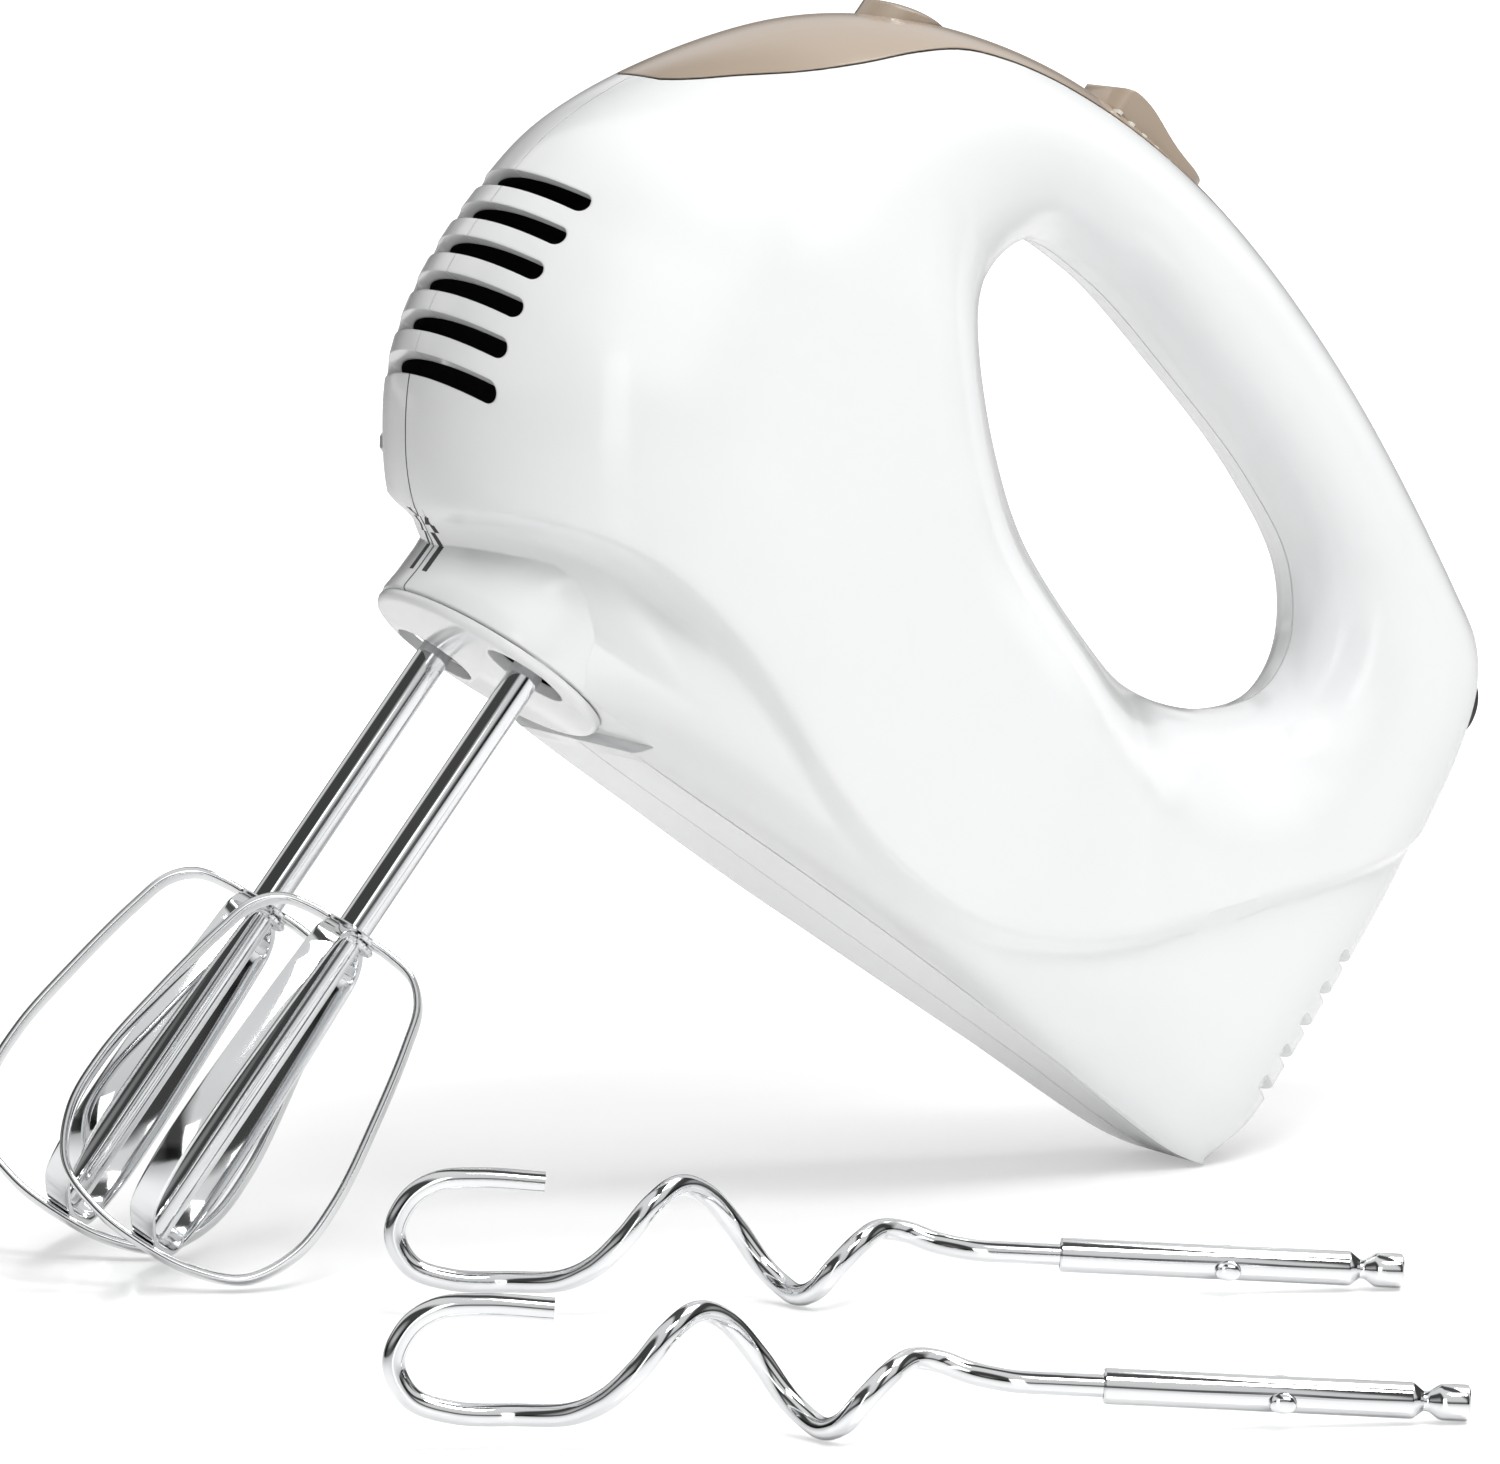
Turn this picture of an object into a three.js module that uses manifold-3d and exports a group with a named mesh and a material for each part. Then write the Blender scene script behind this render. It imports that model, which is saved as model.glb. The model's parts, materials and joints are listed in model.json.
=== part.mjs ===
// Hand mixer: two white housing halves round a motor, a geared pair of beaters,
// a taupe top cover with an eject button and a speed slider, and two loose dough hooks.
// Millimetres, +Z up. The mixer leans on its beaters and its heel; +X runs from beaters to heel.
// Inside the mixer's own group x runs from nose to heel, z runs up along the beater shafts,
// and the origin lies midway between the shafts on the collar's lower face.
import * as THREE from 'three';
import { mergeVertices } from 'three/addons/utils/BufferGeometryUtils.js';
import { ParametricGeometry } from 'three/addons/geometries/ParametricGeometry.js';
import Module from 'manifold-3d';

const wasm = await Module();
wasm.setup();

// ---- driving dimensions -------------------------------------------------------------------
const LEAN = THREE.MathUtils.degToRad(39.26);  // tilt of the mixer at rest
const WALL = 2.4;                             // housing wall
const GAP = 0.3;                              // gap between touching pieces
const SPACING = 34.6;                         // between the two beater shafts
const SHAFT_R = 2.75;                         // beater shaft radius
const MOTOR_Z = 40;                           // height of the motor shaft
const GEAR_TEETH = 25;
const WORM_R = 4.0;                           // radius at which the worm's thread is wound
const THREAD_R = 0.75;
const GEAR_TIP_R = SPACING / 2 - WORM_R + 0.35;
const TOOTH = 2 * Math.PI / GEAR_TEETH;
const GEAR_PHASE = [-0.25 * TOOTH, 0.75 * TOOTH];  // left and right gear, so that gaps face the thread
const SLIDE_SLOPE = THREE.MathUtils.degToRad(4.5);  // fall of the speed slider's track
const SEAM = GAP / 2;                         // each half stops this far from the centre plane
const FINEST = 0.01;                          // shortest edge kept after cutting

// ---- small tools --------------------------------------------------------------------------
const V = (x, y, z) => new THREE.Vector3(x, y, z);

/** Turn a closed geometry into a solid for cutting and joining. */
function solidOf(geometry) {
  let g = geometry.clone();
  g.deleteAttribute('normal');
  g.deleteAttribute('uv');
  g = mergeVertices(g, 1e-4);
  const position = g.attributes.position.array;
  const kept = [];
  const index = g.index.array;
  for (let i = 0; i < index.length; i += 3) {
    const [a, b, c] = [index[i], index[i + 1], index[i + 2]];
    if (a !== b && b !== c && c !== a) kept.push(a, b, c);
  }
  let volume = 0;
  const [p, q, r] = [V(), V(), V()];
  for (let i = 0; i < kept.length; i += 3) {
    p.fromArray(position, 3 * kept[i]);
    q.fromArray(position, 3 * kept[i + 1]);
    r.fromArray(position, 3 * kept[i + 2]);
    volume += p.dot(q.cross(r));
  }
  if (volume < 0) kept.reverse();
  return new wasm.Manifold(new wasm.Mesh({
    numProp: 3, vertProperties: new Float32Array(position), triVerts: new Uint32Array(kept),
  }));
}

/** Turn a solid back into a three.js geometry, without the slivers that cutting leaves. */
function geometryOf(solid) {
  const { vertProperties, triVerts } = solid.setTolerance(FINEST).getMesh();
  const g = new THREE.BufferGeometry();
  g.setAttribute('position', new THREE.BufferAttribute(new Float32Array(vertProperties), 3));
  g.setIndex(new THREE.BufferAttribute(new Uint32Array(triVerts), 1));
  g.computeVertexNormals();
  return g;
}

const asSolid = (shape) => (shape.isBufferGeometry ? solidOf(shape) : shape);
const join = (first, ...rest) => rest.reduce((sum, s) => sum.add(asSolid(s)), asSolid(first));
const cut = (first, ...rest) => rest.reduce((sum, s) => sum.subtract(asSolid(s)), asSolid(first));
const common = (first, second) => asSolid(first).intersect(asSolid(second));

/** A box given by its lowest and highest corner. */
function box(x0, y0, z0, x1, y1, z1) {
  return new THREE.BoxGeometry(x1 - x0, y1 - y0, z1 - z0)
    .translate((x0 + x1) / 2, (y0 + y1) / 2, (z0 + z1) / 2);
}

/** A closed turned part about +Z from a closed [radius, z] outline. */
function turned(outline, segments = 20) {
  const points = outline.map(([radius, z]) => new THREE.Vector2(radius, z));
  points.push(points[0].clone());
  return new THREE.LatheGeometry(points, segments).rotateX(Math.PI / 2);
}

/** A cylinder along +Z. */
const rod = (radius, z0, z1, segments = 20) =>
  turned([[0, z0], [radius, z0], [radius, z1], [0, z1]], segments);

/** A tube or ring along +Z. */
const ring = (inner, outer, z0, z1, segments = 20) =>
  turned([[inner, z0], [outer, z0], [outer, z1], [inner, z1]], segments);

/** A flat outline, given as [x, z] pairs, made into a slab between two y values. */
function slab(outline, y0, y1) {
  const shape = new THREE.Shape(outline.map(([x, z]) => new THREE.Vector2(x, z)));
  return new THREE.ExtrudeGeometry(shape, { depth: y1 - y0, bevelEnabled: false })
    .rotateX(Math.PI / 2).translate(0, y1, 0);
}

/** Lay a part made along +Z so that it runs along +X. */
const alongX = (geometry, x, y, z) => geometry.rotateY(Math.PI / 2).translate(x, y, z);

/** A smooth function of one variable through hand-set [x, value] points. */
function through(points) {
  const slope = points.map((p, i) => {
    const a = points[Math.max(i - 1, 0)];
    const b = points[Math.min(i + 1, points.length - 1)];
    return (b[1] - a[1]) / (b[0] - a[0]);
  });
  return (x) => {
    if (x <= points[0][0]) return points[0][1];
    const last = points.length - 1;
    if (x >= points[last][0]) return points[last][1];
    let i = 0;
    while (x > points[i + 1][0]) i += 1;
    const span = points[i + 1][0] - points[i][0];
    const t = (x - points[i][0]) / span;
    const bend0 = (1 + 2 * t) * (1 - t) ** 2 * points[i][1] + t * (1 - t) ** 2 * span * slope[i];
    const bend1 = t * t * (3 - 2 * t) * points[i + 1][1] + t * t * (t - 1) * span * slope[i + 1];
    return bend0 + bend1;
  };
}

/** 0 at a, 1 at b, with a soft start and stop; b may lie below a. */
function smooth(a, b, x) {
  const s = THREE.MathUtils.clamp((x - a) / (b - a), 0, 1);
  return s * s * (3 - 2 * s);
}
/** Quarter of a superellipse: 0 at the edge, 1 once x reaches 1. */
const rounded = (x, power) => (x >= 1 ? 1 : (1 - (1 - Math.max(x, 0)) ** power) ** (1 / power));

// ---- the housing's outer surface ----------------------------------------------------------
// Both outlines lie on the centre plane, as [x, z]; the near half bulges towards -y.
const HOLE_CENTRE = [77, 88];
const NOSE = [[-18.6, 10.3], [-26, 14.5], [-32.5, 21], [-39.5, 32], [-43.3, 46], [-44, 60], [-42.2, 76]];
const CROWN = [
  [-35, 93], [-19.8, 114.4], [-7, 125], [7.5, 132], [24, 136.6], [40, 138], [58, 137],
  [79, 133.4], [100, 127.4], [121, 119.3], [138, 111.6], [146.5, 107], [151.6, 101],
];
const REAR = [[155.3, 91], [158, 76], [160, 60], [160.7, 45], [160.9, 30], [160.6, 18], [157.6, 9.2]];
const UNDERSIDE = [[150, 6], [118, 4.4], [86, 3], [54, 1.6], [22, 0.3], [2, 0.9]];
const OUTLINE = closedCurve([...NOSE, ...CROWN, ...REAR, ...UNDERSIDE]);
const HOLE = closedCurve([
  [37.5, 112], [33, 104], [34, 95], [40, 86.5], [51, 77.5], [64, 70], [80, 65], [97, 64],
  [112, 69], [120.5, 78], [120.5, 87.5], [112, 98.5], [97, 105.2], [75, 110.3], [52, 113.8],
]);
// Height of the shoulder line that runs from the nose down and up again to the rear.
const SHOULDER = through([
  [-26, 14.5], [-16, 20.5], [-4, 24], [8, 24.2], [20, 22.4], [32, 18.8], [45, 14.2], [58, 11],
  [73, 10.4], [87, 13.4], [100, 19.7], [112, 28], [127, 42], [141, 57.5], [152, 71], [158, 80],
]);
const SHOULDER_STEP = through([[-10, 8], [5, 7], [18, 4.8], [34, 3.4], [52, 2.6], [160, 1.8]]);
const BASE_HALF_WIDTH = through([
  [0, 20], [26, 21.5], [60, 23.3], [80, 22.8], [106, 19], [139, 13.3], [158, 10],
]);
const BASE_Z = (x) => 0.3 + 0.0443 * (x - 22);
// Half width of the body by direction round the hole's centre, in degrees.
const HALF_WIDTH = through([
  [-60, 30], [-44, 22], [-20, 18.5], [0, 18], [45, 18], [90, 18.5], [120, 19.5], [134, 22],
  [156, 31], [177, 38.5], [190, 41], [250, 41], [275, 39], [300, 30], [316, 22], [340, 18.5],
]);
// Distance over which the outer edge is rounded, and how much of the body is full bulge.
const EDGE_ROUND = through([
  [-20, 16], [0, 16], [30, 14], [60, 12.5], [110, 13], [134, 24], [156, 42], [180, 46],
]);
const BULGE = through([
  [-60, 0.9], [-30, 0.4], [0, 0.1], [60, 0], [115, 0], [140, 0.8], [160, 1], [300, 0.9], [330, 0.4],
]);

// Front and rear limit of the body at a given height, for the rounding of its ends in plan.
const noseX = through(NOSE.map(([x, z]) => [z, x]));
const rearX = through(REAR.map(([x, z]) => [z, x]).reverse());

function closedCurve(points) {
  return new THREE.CatmullRomCurve3(points.map(([x, z]) => V(x, 0, z)), true, 'centripetal');
}

/** Distance from the hole's centre to the hole's edge in a given direction. */
const holeEdge = (() => {
  const steps = 720;
  const samples = [];
  for (let i = 0; i < steps; i += 1) {
    const p = HOLE.getPoint(i / steps);
    const [dx, dz] = [p.x - HOLE_CENTRE[0], p.z - HOLE_CENTRE[1]];
    samples.push([Math.atan2(dz, dx), Math.hypot(dx, dz)]);
  }
  samples.sort((a, b) => a[0] - b[0]);
  return (angle) => {
    let i = samples.findIndex((s) => s[0] > angle);
    if (i < 0) i = 0;
    const b = samples[i];
    const a = samples[(i + steps - 1) % steps];
    const turn = 2 * Math.PI;
    const span = (b[0] - a[0] + turn) % turn;
    const t = span ? ((angle - a[0] + turn) % turn) / span : 0;
    return a[1] + (b[1] - a[1]) * t;
  };
})();

/** The straight line from the hole's edge to the outline, for a point u along the outline. */
function spoke(u) {
  const end = OUTLINE.getPointAt(u);
  const angle = Math.atan2(end.z - HOLE_CENTRE[1], end.x - HOLE_CENTRE[0]);
  const near = holeEdge(angle);
  const start = V(HOLE_CENTRE[0] + near * Math.cos(angle), 0, HOLE_CENTRE[1] + near * Math.sin(angle));
  return { start, end, length: start.distanceTo(end), degrees: THREE.MathUtils.radToDeg(angle) };
}

/** Half width of the housing at a fraction t of a spoke. */
function halfWidth(line, t) {
  const degrees = line.degrees < -60 ? line.degrees + 360 : line.degrees;
  const x = line.start.x + (line.end.x - line.start.x) * t;
  const z = line.start.z + (line.end.z - line.start.z) * t;
  const inside = t * line.length;
  const outside = (1 - t) * line.length;
  const bulge = BULGE(degrees);
  const lip = Math.min(22, line.length / 2);
  const dish = 0.12 * bulge;
  const fromHole = (1 - dish) * rounded(inside / lip, 2.1) + dish * smooth(0, 60, inside);
  const overTop = rounded(outside / Math.min(EDGE_ROUND(degrees), line.length / 2), 2.1);
  const inPlan = rounded((x - noseX(z)) / 46, 2.1) * rounded((rearX(z) - x) / 16, 2.1);
  const low = smooth(182, 205, degrees) + smooth(-2, -22, line.degrees < -90 ? 0 : line.degrees);
  const fromEdge = THREE.MathUtils.lerp(overTop, inPlan, Math.min(low, 1));
  const lowNose = smooth(0, 1, (48 - z) / 36) * smooth(0, 1, (40 - x) / 60);
  const widest = HALF_WIDTH(degrees) * (1 - 0.14 * lowNose);
  let half = widest * fromHole * fromEdge;
  const below = SHOULDER(x) - z;
  if (below > 0 && x > -26) {
    const room = Math.max(SHOULDER(x) - BASE_Z(x), 0.1);
    half -= SHOULDER_STEP(x) * smooth(0, Math.min(6, 0.7 * room), below);
    const share = THREE.MathUtils.clamp(below / room, 0, 1);
    const flare = (s) => (1 - (0.96 * s) ** 3.2) ** (1 / 3.2);
    const fall = (flare(share) - flare(1)) / (1 - flare(1));
    const base = Math.min(BASE_HALF_WIDTH(x), half);
    half = base + (half - base) * fall;
  }
  return Math.max(half, 0);
}

/** Point of the near half's outer surface. */
function skin(line, t) {
  const p = line.start.clone().lerp(line.end, t);
  p.y = -halfWidth(line, t);
  return p;
}

/** Where along a spoke the shoulder line is crossed, or a plain default. */
function shoulderAt(line) {
  if (line.degrees > 0 || line.degrees < -165) return 0.84;
  let [low, high] = [0.3, 1];
  for (let i = 0; i < 24; i += 1) {
    const t = (low + high) / 2;
    const x = line.start.x + (line.end.x - line.start.x) * t;
    const z = line.start.z + (line.end.z - line.start.z) * t;
    if (z > SHOULDER(x)) low = t;
    else high = t;
  }
  return THREE.MathUtils.clamp(low, 0.3, 0.86);
}

const RINGS_ABOVE = 6;   // rows of the surface from the hole to the shoulder
const RINGS_BELOW = 4;   // rows from the shoulder to the outline
const RINGS_FLOOR = 1;   // rows across the flat underside to the seam
const AROUND = 42;       // columns round the ring

/** Fraction of a spoke for one row of the surface. */
function rowAt(row, shoulder) {
  if (row <= RINGS_ABOVE) {
    const s = row / RINGS_ABOVE;
    return shoulder * (0.45 * s + 0.55 * (1 - Math.cos(s * Math.PI / 2)));
  }
  const s = (row - RINGS_ABOVE) / RINGS_BELOW;
  return shoulder + (1 - shoulder) * Math.sin(s * Math.PI / 2);
}

/** A housing half (-y side) as one closed shell of even wall. */
function shellHalf(wall, seam = SEAM) {
  const edge = RINGS_ABOVE + RINGS_BELOW;
  const rows = edge + RINGS_FLOOR;
  const lines = Array.from({ length: AROUND }, (_, i) => spoke(i / AROUND));
  const points = lines.map((line) => {
    const shoulder = shoulderAt(line);
    return Array.from({ length: rows + 1 }, (_, row) => {
      const p = skin(line, row < edge ? rowAt(row, shoulder) : 1);
      p.y *= row > edge ? (rows - row) / RINGS_FLOOR : 1;
      return p;
    });
  });
  const at = (i, row) => points[(i + AROUND) % AROUND][row];
  const inner = (i, row) => {
    const line = lines[i];
    const outward = line.end.clone().sub(line.start).normalize();
    const along = at(i + 1, row).clone().sub(at(i - 1, row));
    const across = at(i, Math.min(row + 1, rows)).clone().sub(at(i, Math.max(row - 1, 0)));
    const normal = along.clone().cross(across).normalize();
    if (row === 0 || row === rows || across.length() < 0.5) {
      normal.crossVectors(along, V(0, 1, 0)).normalize();
      if (normal.dot(outward) * (row === 0 ? -1 : 1) < 0) normal.negate();
    }
    return at(i, row).clone().addScaledVector(normal, -wall);
  };
  const loop = 2 * (rows + 1);
  const surface = (u, v, target) => {
    const i = Math.round(u * AROUND) % AROUND;
    const k = Math.round(v * loop) % loop;
    target.copy(k <= rows ? at(i, k) : inner(i, loop - 1 - k));
    target.y = Math.min(target.y, 0) - seam;
  };
  return new ParametricGeometry(surface, AROUND, loop);
}

/** Half width of the body at any [x, z] place on its side. */
function sideAt(x, z) {
  const angle = Math.atan2(z - HOLE_CENTRE[1], x - HOLE_CENTRE[0]);
  let best = null;
  for (let i = 0; i < 360; i += 1) {
    const line = spoke(i / 360);
    const off = Math.abs(Math.atan2(Math.sin(THREE.MathUtils.degToRad(line.degrees) - angle),
      Math.cos(THREE.MathUtils.degToRad(line.degrees) - angle)));
    if (!best || off < best.off) best = { off, line };
  }
  const reach = Math.hypot(x - best.line.start.x, z - best.line.start.z);
  return halfWidth(best.line, Math.min(reach / best.line.length, 1));
}

/** The least half width anywhere on a circle about an [x, z] place. */
function narrowest(x, z, radius) {
  const around = Array.from({ length: 8 }, (_, i) => {
    const angle = Math.PI * i / 4;
    return sideAt(x + radius * Math.cos(angle), z + radius * Math.sin(angle));
  });
  return Math.min(...around);
}

// ---- outer pieces -------------------------------------------------------------------------
const COLLAR = { x: 1, along: 20 / 26, plate: 1.8, top: 20 };
const VENTS = { count: 6, low: 32, high: 65.5, height: 3.4, half: 21, depth: -24 };
const GROOVES = { count: 5, low: 24, pitch: 6.35, height: 2.4, depth: 1.5 };
const BUTTON = { x: -2.2, z: 127.4, along: 6.9, across: 6.3, slope: THREE.MathUtils.degToRad(26) };
const TRACK = { x0: 32.2, x1: 74.5, half: 8.4, z: 137.2 };
const KNOB_HALF = 7.6;
const SCREWS = [[-22, 88], [-25, 24.5], [104, 22], [146, 26], [140, 88]];
const SCREW = { shank: 1.5, head: 3, headHeight: 2.2, boss: 4.6, counterbore: 3.4, sunk: 5 };

/** Lower edge of the top cover in side view, from the nose back to behind the slider. */
const COVER_EDGE = [
  [-36.5, 90.6], [-33, 93.6], [-28, 98.4], [-21, 104.6], [-14, 111.4], [-6, 119.4], [2, 125.6], [10, 129.2],
  [18, 131.6], [28, 133.6], [40, 135], [54, 135.2], [66, 134], [79, 132],
];

/** Everything above the cover's edge, lowered or raised by a clearance. */
function coverZone(clearance) {
  const edge = new THREE.SplineCurve(COVER_EDGE.map(([x, z]) => new THREE.Vector2(x, z - clearance)));
  const points = edge.getPoints(20).map((p) => [p.x, p.y]);
  points[0][0] -= clearance + 3;
  points[points.length - 1][0] += clearance;
  const [first, last] = [points[0], points[points.length - 1]];
  return slab([...points, [last[0], 160], [first[0], 160]], -60, 60);
}

/** The flared collar round the two beater openings, as a ring. */
function collarRing() {
  const z0 = COLLAR.plate + GAP;
  const outline = [[25.7, z0], [25.3, 6], [25.1, 11], [25.6, 16], [26, COLLAR.top],
    [23.6, COLLAR.top], [23.2, 10], [23.4, z0]];
  return turned(outline, 28).scale(COLLAR.along, 1, 1).translate(COLLAR.x, 0, 0);
}

/** Rounded slot bar that runs across the nose. */
function ventBar(z) {
  const r = VENTS.height / 2;
  const shape = new THREE.Shape();
  shape.absarc(VENTS.half - r, 0, r, -Math.PI / 2, Math.PI / 2, false);
  shape.absarc(-VENTS.half + r, 0, r, Math.PI / 2, 1.5 * Math.PI, false);
  const bar = new THREE.ExtrudeGeometry(shape, { depth: 40, bevelEnabled: false, curveSegments: 3 });
  const turn = new THREE.Matrix4().makeBasis(V(0, 1, 0), V(0, 0, 1), V(1, 0, 0));
  return bar.applyMatrix4(turn).translate(VENTS.depth - 40, 0, z);
}

// The cord's gland sits in the rear, its axis tilted up from the x axis.
const GLAND = { x: 152.4, z: 98, tilt: THREE.MathUtils.degToRad(22), r: 4.3 };
const atGland = (geometry) => geometry.rotateY(Math.PI / 2 - GLAND.tilt).translate(GLAND.x, 0, GLAND.z);

/** Slot that the speed slider's stem runs in, through the cover and the housing under it. */
const stemSlot = () => box(42.4, -2, 122, 64.4, 2, 150);

/** Openings that both housing halves share. */
function housingCuts() {
  const cuts = [];
  for (let i = 0; i < VENTS.count; i += 1) {
    cuts.push(ventBar(VENTS.low + (VENTS.high - VENTS.low) * i / (VENTS.count - 1)));
  }
  for (let i = 0; i < GROOVES.count; i += 1) {
    const z = GROOVES.low + GROOVES.pitch * i;
    const half = GROOVES.height / 2;
    cuts.push(box(REAR[3][0] - GROOVES.depth, -30, z - half, 175, 30, z + half));
  }
  const throat = rod(22.8, -20, 17, 28).scale(COLLAR.along, 1, 1).translate(COLLAR.x, 0, 0);
  const below = box(-40, -40, -20, 21.5, 40, COLLAR.plate + GAP);
  cuts.push(throat, below, coverZone(SEAM), stemSlot(), atGland(rod(GLAND.r, -5, 8)));
  return cuts;
}

function makeHousing(side) {
  const half = shellHalf(WALL).scale(1, -side, 1);
  const sameSide = side < 0 ? box(-60, -60, 0, 60, -SEAM, 60) : box(-60, SEAM, 0, 60, 60, 60);
  const collar = common(collarRing(), sameSide);
  const bosses = SCREWS.map(([x, z]) => {
    const reach = narrowest(x, z, SCREW.boss) - WALL / 2;
    const [y0, y1] = side < 0 ? [-reach, -SEAM] : [SEAM, reach];
    return rod(SCREW.boss, y0, y1, 10).rotateX(-Math.PI / 2).translate(x, 0, z);
  });
  const bores = SCREWS.map(([x, z]) => {
    const reach = sideAt(x, z) - SCREW.sunk;
    const hole = side < 0 ? rod(SCREW.shank + GAP, -9, 1, 8) : rod(SCREW.shank + GAP, -1, reach + 1, 8);
    return hole.rotateX(-Math.PI / 2).translate(x, 0, z);
  });
  const sinks = side < 0 ? [] : SCREWS.map(([x, z]) =>
    rod(SCREW.counterbore, sideAt(x, z) - SCREW.sunk, 60, 12).rotateX(-Math.PI / 2).translate(x, 0, z));
  return cut(join(half, collar, ...bosses), ...housingCuts(), ...bores, ...sinks);
}

function makeScrew([x, z]) {
  const head = sideAt(x, z) - SCREW.sunk + GAP;
  const shape = turned([[0, -7], [SCREW.shank, -6], [SCREW.shank, head], [SCREW.head, head],
    [SCREW.head, head + SCREW.headHeight], [0, head + SCREW.headHeight]], 10);
  const slot = new THREE.BoxGeometry(0.9, 4, 0.8).translate(0, 0, head + SCREW.headHeight);
  return geometryOf(cut(shape, slot)).rotateX(-Math.PI / 2).translate(x, 0, z);
}

function makeCollarPlate() {
  const disc = turned([[0, 0], [24.9, 0], [25.5, 0.6], [25.7, COLLAR.plate], [0, COLLAR.plate]], 28)
    .scale(COLLAR.along, 1, 1).translate(COLLAR.x, 0, 0);
  const holes = [-1, 1].map((side) => rod(7.1, -1, 3, 20).translate(0, side * SPACING / 2, 0));
  return cut(disc, ...holes);
}

const trackFloor = (x) => TRACK.z - Math.tan(SLIDE_SLOPE) * (x - TRACK.x0);

function makeTopCover() {
  const whole = join(shellHalf(3.2, -0.02), shellHalf(3.2, -0.02).scale(1, -1, 1));
  const { x0, x1, half } = TRACK;
  const track = slab([[x0, trackFloor(x0)], [x1, trackFloor(x1)], [x1, 150], [x0, 150]], -half, half);
  const opening = rod(1, 100, 150, 24).scale(BUTTON.along + GAP, BUTTON.across + GAP, 1)
    .translate(BUTTON.x, 0, 0);
  return cut(common(whole, coverZone(-SEAM)), track, stemSlot(), opening);
}

function makeButton() {
  const dome = new THREE.SphereGeometry(1, 20, 10).scale(12, 10.5, 5)
    .rotateY(-BUTTON.slope).translate(BUTTON.x - 1.8, 0, BUTTON.z - 3.7);
  const plug = rod(1, 112, 150, 24).scale(BUTTON.along, BUTTON.across, 1).translate(BUTTON.x, 0, 0);
  return common(plug, join(dome, box(-20, -15, 100, 16, 15, 122.6)));
}

function makeKnob() {
  const lift = trackFloor(TRACK.x0) + 0.35;
  const side = new THREE.Shape();
  side.moveTo(33.4, lift);
  side.lineTo(33.6, lift + 1.6);
  side.quadraticCurveTo(34.2, 141.9, 38, 141.9);
  side.bezierCurveTo(44, 141.7, 46, 138.4, 57, 137.9);
  side.quadraticCurveTo(58.4, 137.6, 58.2, trackFloor(58.2) + 0.35);
  const profile = slab(side.getPoints(6).map((p) => [p.x, p.y]), -KNOB_HALF, KNOB_HALF);
  const plan = rod(1, 100, 150, 24).scale(3.4, KNOB_HALF, 1);
  const ends = join(plan.clone().translate(37, 0, 0), box(37, -KNOB_HALF, 100, 52, KNOB_HALF, 150),
    rod(1, 100, 150, 24).scale(6.2, KNOB_HALF, 1).translate(52, 0, 0));
  return join(common(profile, ends), box(43.2, -1.5, 125.6, 48, 1.5, 138));
}

function makeGland() {
  const bush = turned([[0, -4], [3.9, -4], [3.9, 0.6], [5.6, 0.6], [5.2, 2], [3.2, 2.6], [0, 2.6]], 12);
  return atGland(geometryOf(cut(bush, rod(2.9, -5, 4, 12))));
}

// ---- motor and gears ----------------------------------------------------------------------
const STATOR = { x0: 38, x1: 66, halfY: 22, halfZ: 19.5, bore: 14.6 };
const ARMATURE_R = 14;
const SHAFT = { r: 2.5, x0: -22, x1: 96 };
const FRAME = { low: 24, plate: 3, front: -18, rear: 24, top: 53 };
const BRACKET_X = 85;

/** A motor part along x, made from a closed [radius, x] outline. */
const spun = (outline, segments = 24) => alongX(turned(outline, segments), 0, 0, MOTOR_Z);

function makeStator() {
  const { x0, x1, halfY, halfZ, bore } = STATOR;
  const block = box(x0, -halfY, MOTOR_Z - halfZ, x1, halfY, MOTOR_Z + halfZ);
  const windows = [-1, 1].flatMap((sy) => [-1, 1].map((sz) => {
    const [y0, y1] = [sy * 15.1, sy * 19].sort((a, b) => a - b);
    const [z0, z1] = [MOTOR_Z + sz * 9.9, MOTOR_Z + sz * 15.8].sort((a, b) => a - b);
    return box(x0 - 1, y0, z0, x1 + 1, y1, z1);
  }));
  return cut(block, spun([[0, x0 - 1], [bore, x0 - 1], [bore, x1 + 1], [0, x1 + 1]], 24), ...windows);
}

function makeFieldCoil(side) {
  const { x0, x1 } = STATOR;
  const [y0, y1] = [side * 15.5, side * 18.6].sort((a, b) => a - b);
  const outer = box(x0 - 4, y0, MOTOR_Z - 15.5, x1 + 4, y1, MOTOR_Z + 15.5);
  const inner = box(x0 - 0.4, y0 - 1, MOTOR_Z - 10.2, x1 + 0.4, y1 + 1, MOTOR_Z + 10.2);
  return cut(outer, inner);
}

function makeArmatureCore() {
  const { x0, x1 } = STATOR;
  const slots = 12;
  const bore = SHAFT.r + GAP;
  const core = spun([[bore, x0 + 1], [ARMATURE_R, x0 + 1], [ARMATURE_R, x1 - 1], [bore, x1 - 1]], 24);
  const grooves = Array.from({ length: slots }, (_, i) =>
    box(x0, -0.9, 8.5, x1, 0.9, 16).rotateX(2 * Math.PI * i / slots).translate(0, 0, MOTOR_Z));
  return cut(core, ...grooves);
}

const makeWindingEnd = (x0, x1) => spun(
  [[SHAFT.r + GAP, x0], [9, x0], [12, (x0 + x1) / 2], [9, x1], [SHAFT.r + GAP, x1]], 16);
const makeCommutator = () => spun(
  [[SHAFT.r + GAP, 70.4], [9.4, 70.4], [9.4, 71.6], [8, 71.6], [8, 82], [SHAFT.r + GAP, 82]], 18);

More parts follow.
